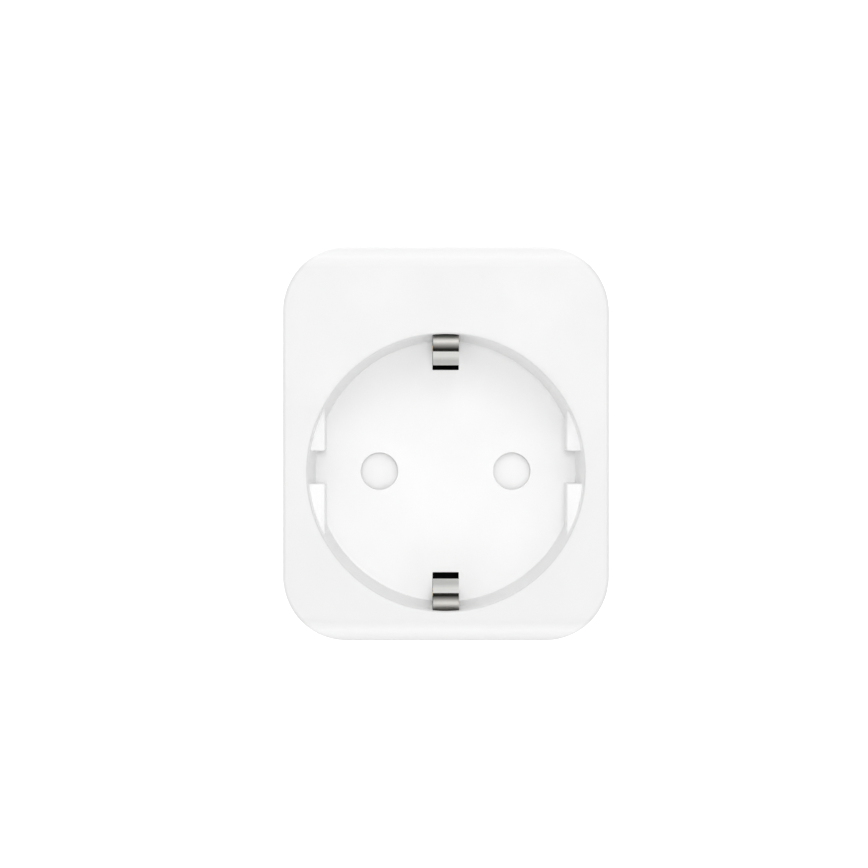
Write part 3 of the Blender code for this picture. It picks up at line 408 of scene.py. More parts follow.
# ---------------------------------------------------------------- rear housing and the plug

def rear_block():
    """The solid outer form of the rear housing: seam edge, straight wall and a rounded rear edge."""
    lip = 0.15 * MM
    edge = SEAM + SEAM_GAP
    round_off = 1.5 * MM
    rings = []
    for turn in np.linspace(0, np.pi / 2, 5):
        rings.append((lip * (1 - np.sin(turn)), edge + lip * (1 - np.cos(turn))))
    rings += [(0, y) for y in np.linspace(edge + lip, -round_off, 6)[1:]]
    for turn in np.linspace(0, np.pi / 2, 11)[1:]:
        rings.append((round_off * (1 - np.cos(turn)), -round_off * (1 - np.sin(turn))))
    rings.append((round_off + 0.4 * MM, 0))
    return prism("rear_shell", [outline(inset) for inset, _ in rings], [y for _, y in rings])


def boss_block():
    """The plug's round boss with a rounded end, before its flats and grooves are cut."""
    bevel = 0.8 * MM
    end = quarter((BOSS_RADIUS, BOSS_END - bevel), (BOSS_RADIUS - bevel, BOSS_END), (BOSS_RADIUS, BOSS_END), 6)
    profile = [(BOSS_RADIUS, -1 * MM), (BOSS_RADIUS, 2 * MM), (BOSS_RADIUS, BOSS_END - 2 * MM), *end,
               (BOSS_RADIUS - 2.5 * MM, BOSS_END)]
    return surface("boss", around(profile, (0, 0), columns=224))


def rear_housing():
    """The rear housing: its outer form less the space inside, with a lip at the seam, boss and posts.

    The boss loses two pairs of flats, an earth groove above and below, and a way for each pin and
    for the earth tube before it is joined on; the screws' ways and the strips' slots come last.
    """
    shell = rear_block()
    lip_outer = outline(WALL + 0.15 * MM, 48)
    lip_inner = outline(WALL + 0.9 * MM, 48)
    wall_inner = outline(WALL, 48)
    tools = fuse(shell, prism("lip", [lip_outer, lip_outer], (LIP_TIP, SEAM + 1.5 * MM)))
    tools += carve(shell, prism("lip_space", [lip_inner, lip_inner], (LIP_TIP - 1 * MM, SEAM + 2 * MM)))
    tools += carve(shell, prism("rear_space", [wall_inner, wall_inner], (SEAM + 1.8 * MM, -2 * MM)))
    boss = boss_block()
    cuts = []
    outer = BOSS_RADIUS + 2 * MM
    past = BOSS_END + 2 * MM
    for side in (-1, 1):
        for half in (-1, 1):
            near = (side * BOSS_FLAT, 0, half * BOSS_RIDGE)
            far = (side * outer, past, half * outer)
            cuts += carve(boss, rounded_block("side_flat", near, far, 0.3 * MM))
        near = (-GROOVE_HALF, 0, side * GROOVE_FLOOR)
        cuts += carve(boss, rounded_block("earth_groove", near, (GROOVE_HALF, past, side * outer), 0.3 * MM))
    inner_end = BOSS_END - BOSS_END_WALL
    tube_z = (TUBE_LOW.z + TUBE_HIGH.z) / 2
    ways = [(PIN_RADIUS + 0.2 * MM, side * PIN_X, 0) for side in (-1, 1)] + [(TUBE_WAY, 0, tube_z)]
    for radius, x, z in ways:
        roll = 0.25 * MM
        edge = quarter((radius, BOSS_END - roll), (radius + roll, BOSS_END + 0.01 * MM), (radius, BOSS_END), 4)
        profile = [(radius, inner_end - 1 * MM), *edge, (radius + roll, past)]
        cuts += carve(boss, surface("pin_way", around(profile, (x, z), columns=56)))
    tools += fuse(shell, boss)
    hollow = [(BOSS_HOLLOW, -3 * MM), (BOSS_HOLLOW, inner_end)]
    tools += carve(shell, surface("boss_space", around(hollow, (0, 0), columns=96)))
    for place in post_places():
        post = [(REAR_POST_RADIUS, SEAM), (REAR_POST_RADIUS, -1 * MM)]
        tools += fuse(shell, surface("rear_post", around(post, place, columns=40)))
        for name, radius, start, end in (("screw_way", SCREW_WAY, SEAM - 1 * MM, -4 * MM),
                                         ("counterbore", SCREW_HEAD_WAY, -SCREW_SEAT, -0.3 * MM)):
            way = surface(name, around([(radius, start), (radius, end)], place, columns=40))
            tools += carve(shell, way)
        flare = SCREW_HEAD_WAY + 0.3 * MM
        rim = [(SCREW_HEAD_WAY, -0.6 * MM), (SCREW_HEAD_WAY, -0.25 * MM), (flare, 0.05 * MM), (flare, 1 * MM)]
        tools += carve(shell, surface("counterbore_rim", around(rim, place, columns=40)))
    for side in (-1, 1):
        near = (-2.6 * MM, -3 * MM, side * GROOVE_FLOOR)
        far = (2.6 * MM, 0.6 * MM, side * (GROOVE_FLOOR + 1.2 * MM))
        tools += carve(shell, rounded_block("strip_slot", near, far, 0.1 * MM))
    return settle(shell, tools + cuts)


# ---------------------------------------------------------------- metal pieces

def strip(name, path, width, thickness, rounding=0.1 * MM):
    """A bent strip: a rounded rectangle carried along a path.

    The path's points are (y, z); at each one the section stands across the path's direction, half
    the thickness each way along its normal and half the width each way along X.
    """
    path = np.asarray(path, float)
    way = np.gradient(path, axis=0)
    way /= np.linalg.norm(way, axis=1)[:, None]
    normal = np.column_stack([-way[:, 1], way[:, 0]])
    half_w = width / 2 - rounding
    half_t = thickness / 2 - rounding
    turn = np.linspace(0, np.pi / 2, 5)
    sides = []
    for k, (sx, sn) in enumerate(((1, 1), (-1, 1), (-1, -1), (1, -1))):
        angle = turn + k * np.pi / 2
        across = sx * half_w + rounding * np.cos(angle)
        through = sn * half_t + rounding * np.sin(angle)
        sides.append(np.column_stack([across, through]))
    section = np.concatenate(sides)
    x = np.repeat(section[None, :, 0], len(path), axis=0)
    flat = path[:, None, :] + normal[:, None, :] * section[None, :, 1:2]
    grid = np.stack([x, flat[..., 0], flat[..., 1]], axis=-1)
    step = np.linalg.norm(np.diff(path, axis=0), axis=1)
    return surface(name, grid, run=np.concatenate([[0], np.cumsum(step)]) / MM)


def arc_points(centre, radius, start, end, steps):
    """Points on a circle between two angles in degrees."""
    angle = np.radians(np.linspace(start, end, steps + 1))
    return np.column_stack([centre[0] + radius * np.cos(angle), centre[1] + radius * np.sin(angle)])


def clip_path():
    """The upper clip's middle line as (y, z): the roll, the slope, the contact bump and the root."""
    roll_y = FACE + CLIP_ROLL_DEPTH
    roll_z = MOUTH_RADIUS - CLIP_ROLL + CLIP_RISE
    roll = arc_points((roll_y, roll_z), CLIP_ROLL - CLIP_STRIP / 2, 60, 300, 36)
    bump_y = FACE + CLIP_BUMP_DEPTH
    bump = arc_points((bump_y, CLIP_BUMP_HEIGHT + CLIP_BUMP_RADIUS), CLIP_BUMP_RADIUS, 215, 315, 16)
    root = CLIP_ROOT_HEIGHT
    rest = np.array([(bump_y + 5.0 * MM, root - 0.5 * MM), (bump_y + 7.5 * MM, root), (CLIP_HIGH.y, root)])
    return np.concatenate([roll, bump, rest])


def even_path(path, step):
    """The same line with its points spread evenly along its length."""
    length = np.concatenate([[0], np.cumsum(np.linalg.norm(np.diff(path, axis=0), axis=1))])
    count = int(length[-1] / step)
    spots = np.linspace(0, length[-1], count)
    return np.column_stack([np.interp(spots, length, path[:, k]) for k in (0, 1)])


def smooth_path(path, rounds):
    """Softens bends: each inner point moves to a quarter of each neighbour and half of itself."""
    for _ in range(rounds):
        path[1:-1] = path[:-2] / 4 + path[1:-1] / 2 + path[2:] / 4
    return path


def earth_clip(side):
    """An earth clip: a strip along the clip's path, with the path turned over for the lower one."""
    path = smooth_path(even_path(clip_path(), 0.12 * MM), 4)
    path = path * (1, side)
    name = "upper_clip_strip" if side > 0 else "lower_clip_strip"
    return soften(strip(name, path, 2 * CLIP_HALF, CLIP_STRIP, 0.06 * MM))


def earth_strips():
    """The plug's earth strips: one bent strip from groove to groove behind the board."""
    root = GROOVE_FLOOR + 0.6 * MM
    tip = STRIP_HIGH.y
    foot = 1.0 * MM
    share = np.linspace(0, 1, 24)
    bow = np.column_stack([tip + (foot - tip) * share, root + 0.3 * MM * np.sin(np.pi * share)])
    base = STRIP_LOW.y + 0.3 * MM
    half = np.concatenate([bow, [(base + 0.4 * MM, root), (base, root - 0.4 * MM)]])
    path = np.concatenate([half, half[::-1] * (1, -1)])
    piece = strip("earth_strips", path, STRIP_HIGH.x - STRIP_LOW.x, 0.6 * MM)
    return soften(piece)


def plug_pin(name, side):
    """A pin: shank, collar, straight body and a rounded tip."""
    end = PIN_HIGH.y
    start = PIN_LOW.y
    collar_end = BOSS_END - 2.1 * MM
    collar_start = collar_end - 0.9 * MM
    shank = 1.5 * MM
    collar = 3.5 * MM
    tip = quarter((PIN_RADIUS, end - 1.5 * MM), (0.9 * MM, end), (PIN_RADIUS, end), 12)
    profile = [(TINY, start), (shank, start), (shank, collar_start), (collar, collar_start),
               (collar, collar_end), (PIN_RADIUS, collar_end), (PIN_RADIUS, BOSS_END),
               (PIN_RADIUS, end - 3 * MM), *tip, (TINY, end)]
    return soften(surface(name, around(profile, (side * PIN_X, 0), columns=72)))


def earth_tube():
    """The earth tube: a turned cup whose mouth narrows in a quarter round, with a closed inner end."""
    outer = (TUBE_HIGH.x - TUBE_LOW.x) / 2
    inner = outer - TUBE_WALL
    back = TUBE_HIGH.y
    mouth = quarter((outer, back - 0.3 * MM), (inner, back - 0.3 * MM), (outer, back), 6)
    floor = TUBE_LOW.y + 0.6 * MM
    profile = [(TINY, TUBE_LOW.y), (outer, TUBE_LOW.y), *mouth, (inner, floor), (TINY, floor)]
    return soften(surface("earth_tube", around(profile, (0, (TUBE_LOW.z + TUBE_HIGH.z) / 2), columns=56)))


def housing_screw(number):
    """A pan-head screw: domed head with a cross recess on a plain shank."""
    low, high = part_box(f"housing_screw_{number}")
    centre = ((low.x + high.x) / 2, (low.z + high.z) / 2)
    head = (high.x - low.x) / 2
    outer = high.y
    seat = outer - 1.3 * MM
    dome = quarter((head, outer - 0.7 * MM), (head * 0.35, outer), (head, outer), 8)
    profile = [(TINY, low.y), (0.6 * MM, low.y), (1.0 * MM, low.y + 0.6 * MM), (1.0 * MM, seat), (head, seat),
               *dome, (TINY, outer)]
    piece = surface(f"screw_{number}", around(profile, centre, columns=48))
    reach = 1.15 * MM
    half = 0.24 * MM
    x, z = centre
    bars = [((x - reach, z - half), (x + reach, z + half)), ((x - half, z - reach), (x + half, z + reach))]
    tools = []
    for (x0, z0), (x1, z1) in bars:
        bar = rounded_block("cross_bar", (x0, outer - 0.75 * MM, z0), (x1, outer + 1 * MM, z1), 0.08 * MM, 2)
        tools += carve(piece, bar)
    return settle(piece, tools)


# ---------------------------------------------------------------- shutter, button and light pipe

def shutter_rotor():
    """The white rotor behind the pin holes: hub, two arms and two pads with rounded rims."""
    front, back = SHUTTER_LOW.y, SHUTTER_HIGH.y
    pad_radius = (SHUTTER_HIGH.x - SHUTTER_LOW.x) / 2 - PIN_X
    rim = 0.45 * MM

    def disc(name, radius, centre, columns):
        edge = quarter((radius - rim, front), (radius, front + rim), (radius, front), 5)
        profile = [(TINY, front), (radius * 0.6, front), *edge, (radius, back), (TINY, back)]
        return surface(name, around(profile, centre, columns=columns))

    rotor = disc("shutter_rotor", HUB_RADIUS, (0, 0), 72)
    arm = rounded_block("arm", (-PIN_X, front, -2.5 * MM), (PIN_X, back, 2.5 * MM), 0.3 * MM)
    tools = fuse(rotor, arm, disc("pad", pad_radius, (PIN_X, 0), 64), disc("pad", pad_radius, (-PIN_X, 0), 64))
    bore = [(HUB_BORE, front - 1 * MM), (HUB_BORE, back + 1 * MM)]
    tools += carve(rotor, surface("bore", around(bore, (0, 0), columns=48)))
    return settle(rotor, tools)


def button_cap():
    """The button: a gently dished cap with a rounded rim, on a flange and a short stem."""
    radius = BUTTON_RADIUS
    top = BUTTON_HIGH.z
    flange_top = TOP - WALL - 0.4 * MM
    flange_bottom = flange_top - 0.8 * MM
    flange = BUTTON_HIGH.x
    rim = 0.5 * MM
    edge = quarter((radius, top - rim), (radius - rim, top), (radius, top), 6)
    inner = radius - rim
    share = np.linspace(1, 0.0005, 14)[1:]
    dish = [(inner * s, top - 0.22 * MM * (1 - s ** 2)) for s in share]
    stem = 1.5 * MM
    foot = BUTTON_LOW.z
    profile = [(TINY, foot), (stem, foot), (stem, flange_bottom), (flange, flange_bottom), (flange, flange_top),
               (radius, flange_top), *edge, *dish]
    return soften(surface("button_cap", around(profile, (0, BUTTON_Y), "Z", 80)))


def light_window():
    """The clear light pipe, with a slightly domed end in the top wall."""
    radius = PIPE_RADIUS
    top = PIPE_HIGH.z
    share = np.linspace(0.9, 0.0005, 8)
    dome = [(radius * s, top - 0.1 * MM * s ** 2) for s in share]
    flange_top = TOP - WALL - 0.3 * MM
    flange_bottom = flange_top - 1 * MM
    flange = radius + 0.7 * MM
    profile = [(TINY, PIPE_LOW.z), (radius, PIPE_LOW.z), (radius, flange_bottom), (flange, flange_bottom),
               (flange, flange_top), (radius, flange_top), (radius, top - 0.25 * MM), *dome]
    return soften(surface("light_window", around(profile, (PIPE_X, BUTTON_Y), "Z", 40)))


# ---------------------------------------------------------------- finishes

class Skin:
    """A material under construction: its node tree, its shader and short ways to add and link nodes."""

    def __init__(self, name, metallic=0.0):
        self.material = bpy.data.materials.new(name)
        self.material.use_nodes = True
        self.tree = self.material.node_tree
        self.shader = self.tree.nodes["Principled BSDF"]
        self.shader.inputs["Metallic"].default_value = metallic
        self.place = self.add("ShaderNodeTexCoord")

    def add(self, kind, **settings):
        """A new node with its own settings."""
        node = self.tree.nodes.new(kind)
        for key, value in settings.items():
            setattr(node, key, value)
        return node

    def put(self, source, socket):
        """Links an output to a socket, or writes a plain value in it."""
        if isinstance(source, bpy.types.NodeSocket):
            self.tree.links.new(source, socket)
        else:
            socket.default_value = (*source, 1) if isinstance(source, tuple) and len(source) == 3 else source

    def group(self, tree, **values):
        """A node group with a value or a link in each named input."""
        node = self.add("ShaderNodeGroup", node_tree=tree)
        for key, value in values.items():
            self.put(value, node.inputs[key])
        return node.outputs

    def mapped(self, scale=(1, 1, 1)):
        """Object coordinates, scaled."""
        node = self.add("ShaderNodeMapping")
        node.inputs["Scale"].default_value = scale
        self.put(self.place.outputs["Object"], node.inputs["Vector"])
        return node.outputs["Vector"]

    def part(self, which, source=None):
        """One of the X, Y and Z parts of the object coordinates or of another vector."""
        node = self.add("ShaderNodeSeparateXYZ")
        self.put(source or self.place.outputs["Object"], node.inputs[0])
        return node.outputs[which]

    def span(self, source, start, end, low=0.0, high=1.0):
        """Runs from low to high while the source runs from start to end, and stays there outside."""
        node = self.add("ShaderNodeMapRange")
        for socket, value in zip(node.inputs, (source, start, end, low, high)):
            self.put(value, socket)
        return node.outputs["Result"]

    def math(self, operation, *values):
        """The outcome of one sum on links or plain values."""
        node = self.add("ShaderNodeMath", operation=operation)
        for socket, value in zip(node.inputs, values):
            self.put(value, socket)
        return node.outputs[0]

    def mix(self, share, first, second):
        """The first colour at share 0 and the second at share 1."""
        node = self.add("ShaderNodeMix", data_type="RGBA")
        self.put(share, node.inputs["Factor"])
        self.put(first, node.inputs["A"])
        self.put(second, node.inputs["B"])
        return node.outputs["Result"]

    def texture(self, kind, vector, settings, **values):
        """A texture node at a place, with its settings and its inputs' values."""
        node = self.add(kind, **dict(settings))
        self.put(vector, node.inputs["Vector"])
        for key, value in values.items():
            node.inputs[key.replace("_", " ")].default_value = value
        return node.outputs

    def relief(self, height, depth):
        """Bump: the height, 0 to 1, stands for a depth in millimetres."""
        node = self.add("ShaderNodeBump")
        node.inputs["Strength"].default_value = 1.0
        node.inputs["Distance"].default_value = depth * MM
        self.put(height, node.inputs["Height"])
        self.put(node.outputs["Normal"], self.shader.inputs["Normal"])

    def paint(self, colour, rough):
        """Gives the shader its colour and roughness, and hands back the finished material."""
        self.put(colour, self.shader.inputs["Base Color"])
        self.put(rough, self.shader.inputs["Roughness"])
        return self.material


def new_group(name, inputs, outputs):
    """An empty node group with named float and vector sockets."""
    tree = bpy.data.node_groups.new(name, "ShaderNodeTree")
    for way, sockets in (("INPUT", inputs), ("OUTPUT", outputs)):
        for socket in sockets:
            kind = "NodeSocketVector" if socket == "Vector" else "NodeSocketFloat"
            tree.interface.new_socket(socket, in_out=way, socket_type=kind)
    return tree, tree.nodes.new("NodeGroupInput").outputs, tree.nodes.new("NodeGroupOutput").inputs


def noise_in(tree, vector, scale, detail=2.0, rough=0.5):
    """A soft noise inside a node group; its scale is a number or a link."""
    node = tree.nodes.new("ShaderNodeTexNoise")
    node.inputs["Detail"].default_value = detail
    node.inputs["Roughness"].default_value = rough
    tree.links.new(vector, node.inputs["Vector"])
    if isinstance(scale, bpy.types.NodeSocket):
        tree.links.new(scale, node.inputs["Scale"])
    else:
        node.inputs["Scale"].default_value = scale
    return node.outputs["Fac"]


def grain_group():
    """Surface grain: a fine height, and a broad soft cloud for drifts of colour and gloss."""
    tree, given, out = new_group("surface_grain", ("Vector", "Scale"), ("Height", "Cloud"))
    tree.links.new(noise_in(tree, given["Vector"], given["Scale"], 3.0, 0.6), out["Height"])
    tree.links.new(noise_in(tree, given["Vector"], 90.0), out["Cloud"])
    return tree


def marks_group():
    """Fine rubbing marks: two stretched noises, each kept only at its crests, as a thin streaky mask."""
    tree, given, out = new_group("rubbing_marks", ("Vector", "Amount"), ("Mask",))
    masks = []
    for stretch, scale in (((1, 14, 3), 260.0), ((12, 1, 2), 310.0)):
        turned = tree.nodes.new("ShaderNodeMapping")
        turned.inputs["Scale"].default_value = stretch
        turned.inputs["Rotation"].default_value = (0.3, 0.5, 0.9)
        tree.links.new(given["Vector"], turned.inputs["Vector"])
        crest = tree.nodes.new("ShaderNodeMapRange")
        for socket, value in zip(("From Min", "From Max"), (0.62, 0.72)):
            crest.inputs[socket].default_value = value
        tree.links.new(noise_in(tree, turned.outputs["Vector"], scale), crest.inputs["Value"])
        masks.append(crest.outputs["Result"])
    both = tree.nodes.new("ShaderNodeMath")
    both.operation = "MAXIMUM"
    faded = tree.nodes.new("ShaderNodeMath")
    faded.operation = "MULTIPLY"
    for mask, socket in zip(masks, both.inputs):
        tree.links.new(mask, socket)
    tree.links.new(both.outputs[0], faded.inputs[0])
    tree.links.new(given["Amount"], faded.inputs[1])
    tree.links.new(faded.outputs[0], out["Mask"])
    return tree


GRAIN = grain_group()
MARKS = marks_group()


def grained(name, dark, light, rough, scale, depth, metallic=0.0, marks=0.0, stretch=(1, 1, 1), coat=0.0):
    """A moulded, coated or plated finish.

    Its colour and roughness drift between two values with the soft cloud; marks roughen it in thin
    streaks; depth is the grain's height in millimetres and stretch the grain's proportions.
    """
    skin = Skin(name, metallic)
    grain = skin.group(GRAIN, Vector=skin.mapped(stretch), Scale=scale)
    gloss = skin.span(grain["Cloud"], 0.3, 0.7, *rough)
    if marks:
        streaks = skin.group(MARKS, Vector=skin.place.outputs["Object"], Amount=marks)
        gloss = skin.math("ADD", gloss, streaks["Mask"])
    skin.relief(grain["Height"], depth)
    skin.shader.inputs["Coat Weight"].default_value = coat
    skin.paint(skin.mix(grain["Cloud"], dark, light), gloss)
    return skin


def cover_finish():
    """Satin white polycarbonate, with light painted into its colour: the face a shade greyer than the rear
    moulding, the rolled top and bottom edges lighter as a painted highlight, and all that lies a millimetre and
    more behind the face, the socket with it, lighter as painted light.
    """
    skin = Skin("white_polycarbonate")
    grain = skin.group(GRAIN, Vector=skin.mapped(), Scale=2300.0)
    streaks = skin.group(MARKS, Vector=skin.place.outputs["Object"], Amount=0.04)
    # Everything a millimetre and more behind the face, the socket and the outer walls, takes a whiter white:
    # painted light.
    inside = skin.span(skin.part("Y"), FACE + 0.2 * MM, FACE + 1.0 * MM)
    height = skin.math("ABSOLUTE", skin.math("SUBTRACT", skin.part("Z"), MIDDLE_Z))
    # The rolled top and bottom edges of the face take a whiter white too: a painted highlight.
    rolled = skin.span(height, HALF_HEIGHT - CROWN, HALF_HEIGHT - CROWN * 0.5)
    flat = skin.mix(grain["Cloud"], (0.822, 0.822, 0.822), (0.834, 0.834, 0.834))
    face = skin.mix(rolled, flat, (0.985, 0.985, 0.985))
    # The socket's whiter white is painted light, standing in for the light that fills the recess.
    socket = skin.mix(grain["Cloud"], (0.970, 0.970, 0.970), (0.978, 0.978, 0.978))
    gloss = skin.math("ADD", skin.span(grain["Cloud"], 0.3, 0.7, 0.34, 0.40), streaks["Mask"])
    skin.relief(grain["Height"], 0.0035)
    return skin.paint(skin.mix(inside, face, socket), gloss)


def clip_finish():
    """Nickel plate on the clips, with shade and light painted into its colour: near black in the crease under
    the roll and towards its outer edge, and somewhat darker from the foot of the slope on, as painted shade and
    painted dark reflections; the roll a darker nickel than the slope, painted shade that keeps its highlight
    soft.

    The painted bands follow the strip's own length, in millimetres from its rolled end.
    """
    skin = Skin("clip_nickel", 1.0)
    run = skin.add("ShaderNodeAttribute", attribute_name="run").outputs["Fac"]
    grain = skin.group(GRAIN, Vector=skin.mapped((8, 1, 1)), Scale=900.0)
    streaks = skin.group(MARKS, Vector=skin.place.outputs["Object"], Amount=0.1)
    # Where the nickel is painted towards black along the strip: painted shade and painted dark reflections at
    # the outer edge, in the crease and past the slope.
    outer = skin.span(run, 1.15, 1.85, 0.86, 0.0)
    crease = skin.span(run, 2.15, 3.1, 0.0, 1.0)
    past = skin.span(run, 4.35, 4.55, 1.0, 0.0)
    tail = skin.span(run, 5.9, 7.0, 0.0, 0.25)
    painted_dark_bands = skin.math("MAXIMUM", skin.math("MAXIMUM", outer, tail), skin.math("MULTIPLY", crease, past))
    # The roll's nickel is darker than the slope's pale nickel: painted shade on the roll and painted light on
    # the slope.
    roll = skin.mix(grain["Cloud"], (0.66, 0.645, 0.615), (0.71, 0.695, 0.665))
    painted_roll_and_slope_tone = skin.mix(past, (0.93, 0.93, 0.91), roll)
    # The painted dark bands blend the nickel towards near black: painted shade.
    colour = skin.mix(painted_dark_bands, painted_roll_and_slope_tone, (0.020, 0.019, 0.016))
    gloss = skin.math("ADD", skin.span(grain["Cloud"], 0.3, 0.7, 0.56, 0.62), streaks["Mask"])
    skin.relief(grain["Height"], 0.0008)
    return skin.paint(colour, gloss)


def board_finish():
    """Solder mask over copper: raised tracks in a lighter green, and tinned round pads."""
    skin = Skin("board_laminate")
    grain = skin.group(GRAIN, Vector=skin.mapped(), Scale=1800.0)
    cells = skin.texture("ShaderNodeTexVoronoi", skin.mapped(), {"feature": "DISTANCE_TO_EDGE"},
                         Scale=210.0, Randomness=0.55)
    track = skin.span(cells["Distance"], 0.05, 0.10, 1.0, 0.0)
    dots = skin.texture("ShaderNodeTexVoronoi", skin.mapped(), {"distance": "EUCLIDEAN"},
                        Scale=330.0, Randomness=0.8)
    pad = skin.span(dots["Distance"], 0.14, 0.19, 1.0, 0.0)
    green = skin.mix(grain["Cloud"], (0.012, 0.105, 0.045), (0.02, 0.15, 0.065))
    masked = skin.mix(track, green, (0.045, 0.27, 0.12))
    colour = skin.mix(pad, masked, (0.70, 0.68, 0.63))
    skin.put(pad, skin.shader.inputs["Metallic"])
    skin.relief(skin.math("MAXIMUM", track, pad), 0.035)
    return skin.paint(colour, skin.span(grain["Cloud"], 0.3, 0.7, 0.28, 0.42))


def winding_finish(name, dark, light, axis, pitch):
    """Enamelled wire in close turns: rounded ridges along one axis, a wire's width apart. The colour runs
    darker in the grooves between turns and lighter on the crests: painted shade and painted highlight over the
    ridges.
    """
    skin = Skin(name, 0.85)
    # The turns bump the surface and also darken its grooves and lighten its crests: painted shade and painted
    # highlight.
    wave = skin.texture("ShaderNodeTexWave", skin.place.outputs["Object"],
                        {"wave_type": "BANDS", "bands_direction": axis, "wave_profile": "SIN"},
                        Scale=np.pi / (10 * pitch * MM), Distortion=0.0)
    grain = skin.group(GRAIN, Vector=skin.mapped(), Scale=1200.0)
    skin.relief(wave["Fac"], pitch * 0.4)
    return skin.paint(skin.mix(wave["Fac"], dark, light), skin.span(grain["Cloud"], 0.3, 0.7, 0.25, 0.4))


def sleeve_finish():
    """A capacitor's shrunk sleeve with a pale stripe down one side and its bare aluminium end."""
    skin = Skin("capacitor_sleeve")
    normal = skin.place.outputs["Normal"]
    grain = skin.group(GRAIN, Vector=skin.mapped(), Scale=1400.0)
    end = skin.span(skin.math("MULTIPLY", skin.part("Y", normal), -1.0), 0.90, 0.96)
    stripe = skin.span(skin.part("X", normal), 0.90, 0.93)
    sleeve = skin.mix(grain["Cloud"], (0.012, 0.018, 0.055), (0.02, 0.03, 0.08))
    striped = skin.mix(stripe, sleeve, (0.42, 0.46, 0.55))
    skin.put(end, skin.shader.inputs["Metallic"])
    skin.relief(grain["Height"], 0.006)
    colour = skin.mix(end, striped, (0.78, 0.78, 0.79))
    return skin.paint(colour, skin.span(grain["Cloud"], 0.3, 0.7, 0.25, 0.38))


def resistor_finish():
    """A cement-grey resistor body with four painted rings round it."""
    skin = Skin("resistor_coat")
    along = skin.part("Y")
    grain = skin.group(GRAIN, Vector=skin.mapped(), Scale=1600.0)
    colour = skin.mix(grain["Cloud"], (0.17, 0.28, 0.21), (0.24, 0.36, 0.28))
    black = (0.02, 0.02, 0.02)
    first_ring = -12.9
    ring_step = 1.25
    for number, tint in enumerate(((0.25, 0.10, 0.03), black, black, (0.55, 0.42, 0.12))):
        middle = (first_ring + ring_step * number) * MM
        away = skin.math("ABSOLUTE", skin.math("SUBTRACT", along, middle))
        ring = skin.span(away, 0.22 * MM, 0.26 * MM, 1.0, 0.0)
        colour = skin.mix(ring, colour, tint)
    skin.relief(grain["Height"], 0.01)
    return skin.paint(colour, skin.span(grain["Cloud"], 0.3, 0.7, 0.45, 0.6))


def clear_finish():
    """Clear acrylic with a faintly frosted skin."""
    skin = grained("clear_acrylic", (0.90, 0.93, 0.95), (0.95, 0.97, 0.98), (0.04, 0.09), 700.0, 0.0008)
    skin.shader.inputs["Transmission Weight"].default_value = 1.0
    skin.shader.inputs["IOR"].default_value = 1.49
    return skin.material


WHITE = cover_finish()
REAR_WHITE = grained("white_rear_moulding", (0.868,) * 3, (0.882,) * 3, (0.34, 0.40), 2300.0, 0.0035,
                     marks=0.04).material
# The shutter's white is lighter than the housing mouldings': painted light, standing in for the light that the
# deep pin holes shade off it.
BRIGHT_WHITE = grained("white_shutter_resin", (0.955,) * 3, (0.965,) * 3, (0.3, 0.36), 1900.0, 0.002,
                       marks=0.03).material
CLIP_NICKEL = clip_finish()
NICKEL = grained("bright_nickel", (0.68, 0.665, 0.635), (0.77, 0.755, 0.725), (0.14, 0.22), 900.0, 0.0006,
                 1.0, 0.12, (1, 6, 1)).material
STEEL = grained("zinc_steel", (0.50, 0.52, 0.55), (0.64, 0.66, 0.69), (0.24, 0.38), 1500.0, 0.0015,
                1.0, 0.15).material
SPRING = grained("spring_steel", (0.40, 0.40, 0.42), (0.52, 0.52, 0.54), (0.2, 0.32), 1500.0, 0.001,
                 1.0, 0.1).material
BRASS = grained("stamped_brass", (0.72, 0.52, 0.22), (0.84, 0.66, 0.34), (0.2, 0.34), 1200.0, 0.001, 1.0, 0.18,
                (1, 1, 7)).material
COPPER = grained("rolled_copper", (0.66, 0.33, 0.20), (0.80, 0.45, 0.29), (0.24, 0.36), 1200.0, 0.001,
                 1.0, 0.15).material
NYLON = grained("natural_nylon", (0.64, 0.61, 0.53), (0.73, 0.70, 0.63), (0.42, 0.56), 1800.0, 0.006,
                marks=0.05).material
BLACK = grained("black_moulding", (0.016, 0.016, 0.017), (0.034, 0.034, 0.035), (0.38, 0.55), 1500.0, 0.008,
                marks=0.08).material
CARD = grained("black_card", (0.006, 0.006, 0.006), (0.010, 0.010, 0.010), (0.85, 0.95), 1100.0, 0.01).material
RELAY = grained("relay_case_plastic", (0.035, 0.095, 0.28), (0.06, 0.14, 0.36), (0.3, 0.42), 2000.0, 0.004,
                marks=0.08).material
FILM = grained("film_capacitor_case", (0.50, 0.46, 0.30), (0.60, 0.56, 0.40), (0.36, 0.5), 1700.0, 0.006,
               marks=0.06).material
VARISTOR = grained("varistor_epoxy", (0.03, 0.10, 0.34), (0.05, 0.16, 0.46), (0.2, 0.34), 420.0, 0.03,
                   coat=0.4).material
LED = grained("led_body", (0.80, 0.76, 0.62), (0.90, 0.87, 0.76), (0.2, 0.3), 900.0, 0.002, coat=0.3).material
BOARD = board_finish()
SLEEVE = sleeve_finish()
RESISTOR = resistor_finish()
COIL = winding_finish("enamelled_coil", (0.30, 0.12, 0.05), (0.80, 0.42, 0.24), "X", 0.22)
CLEAR = clear_finish()

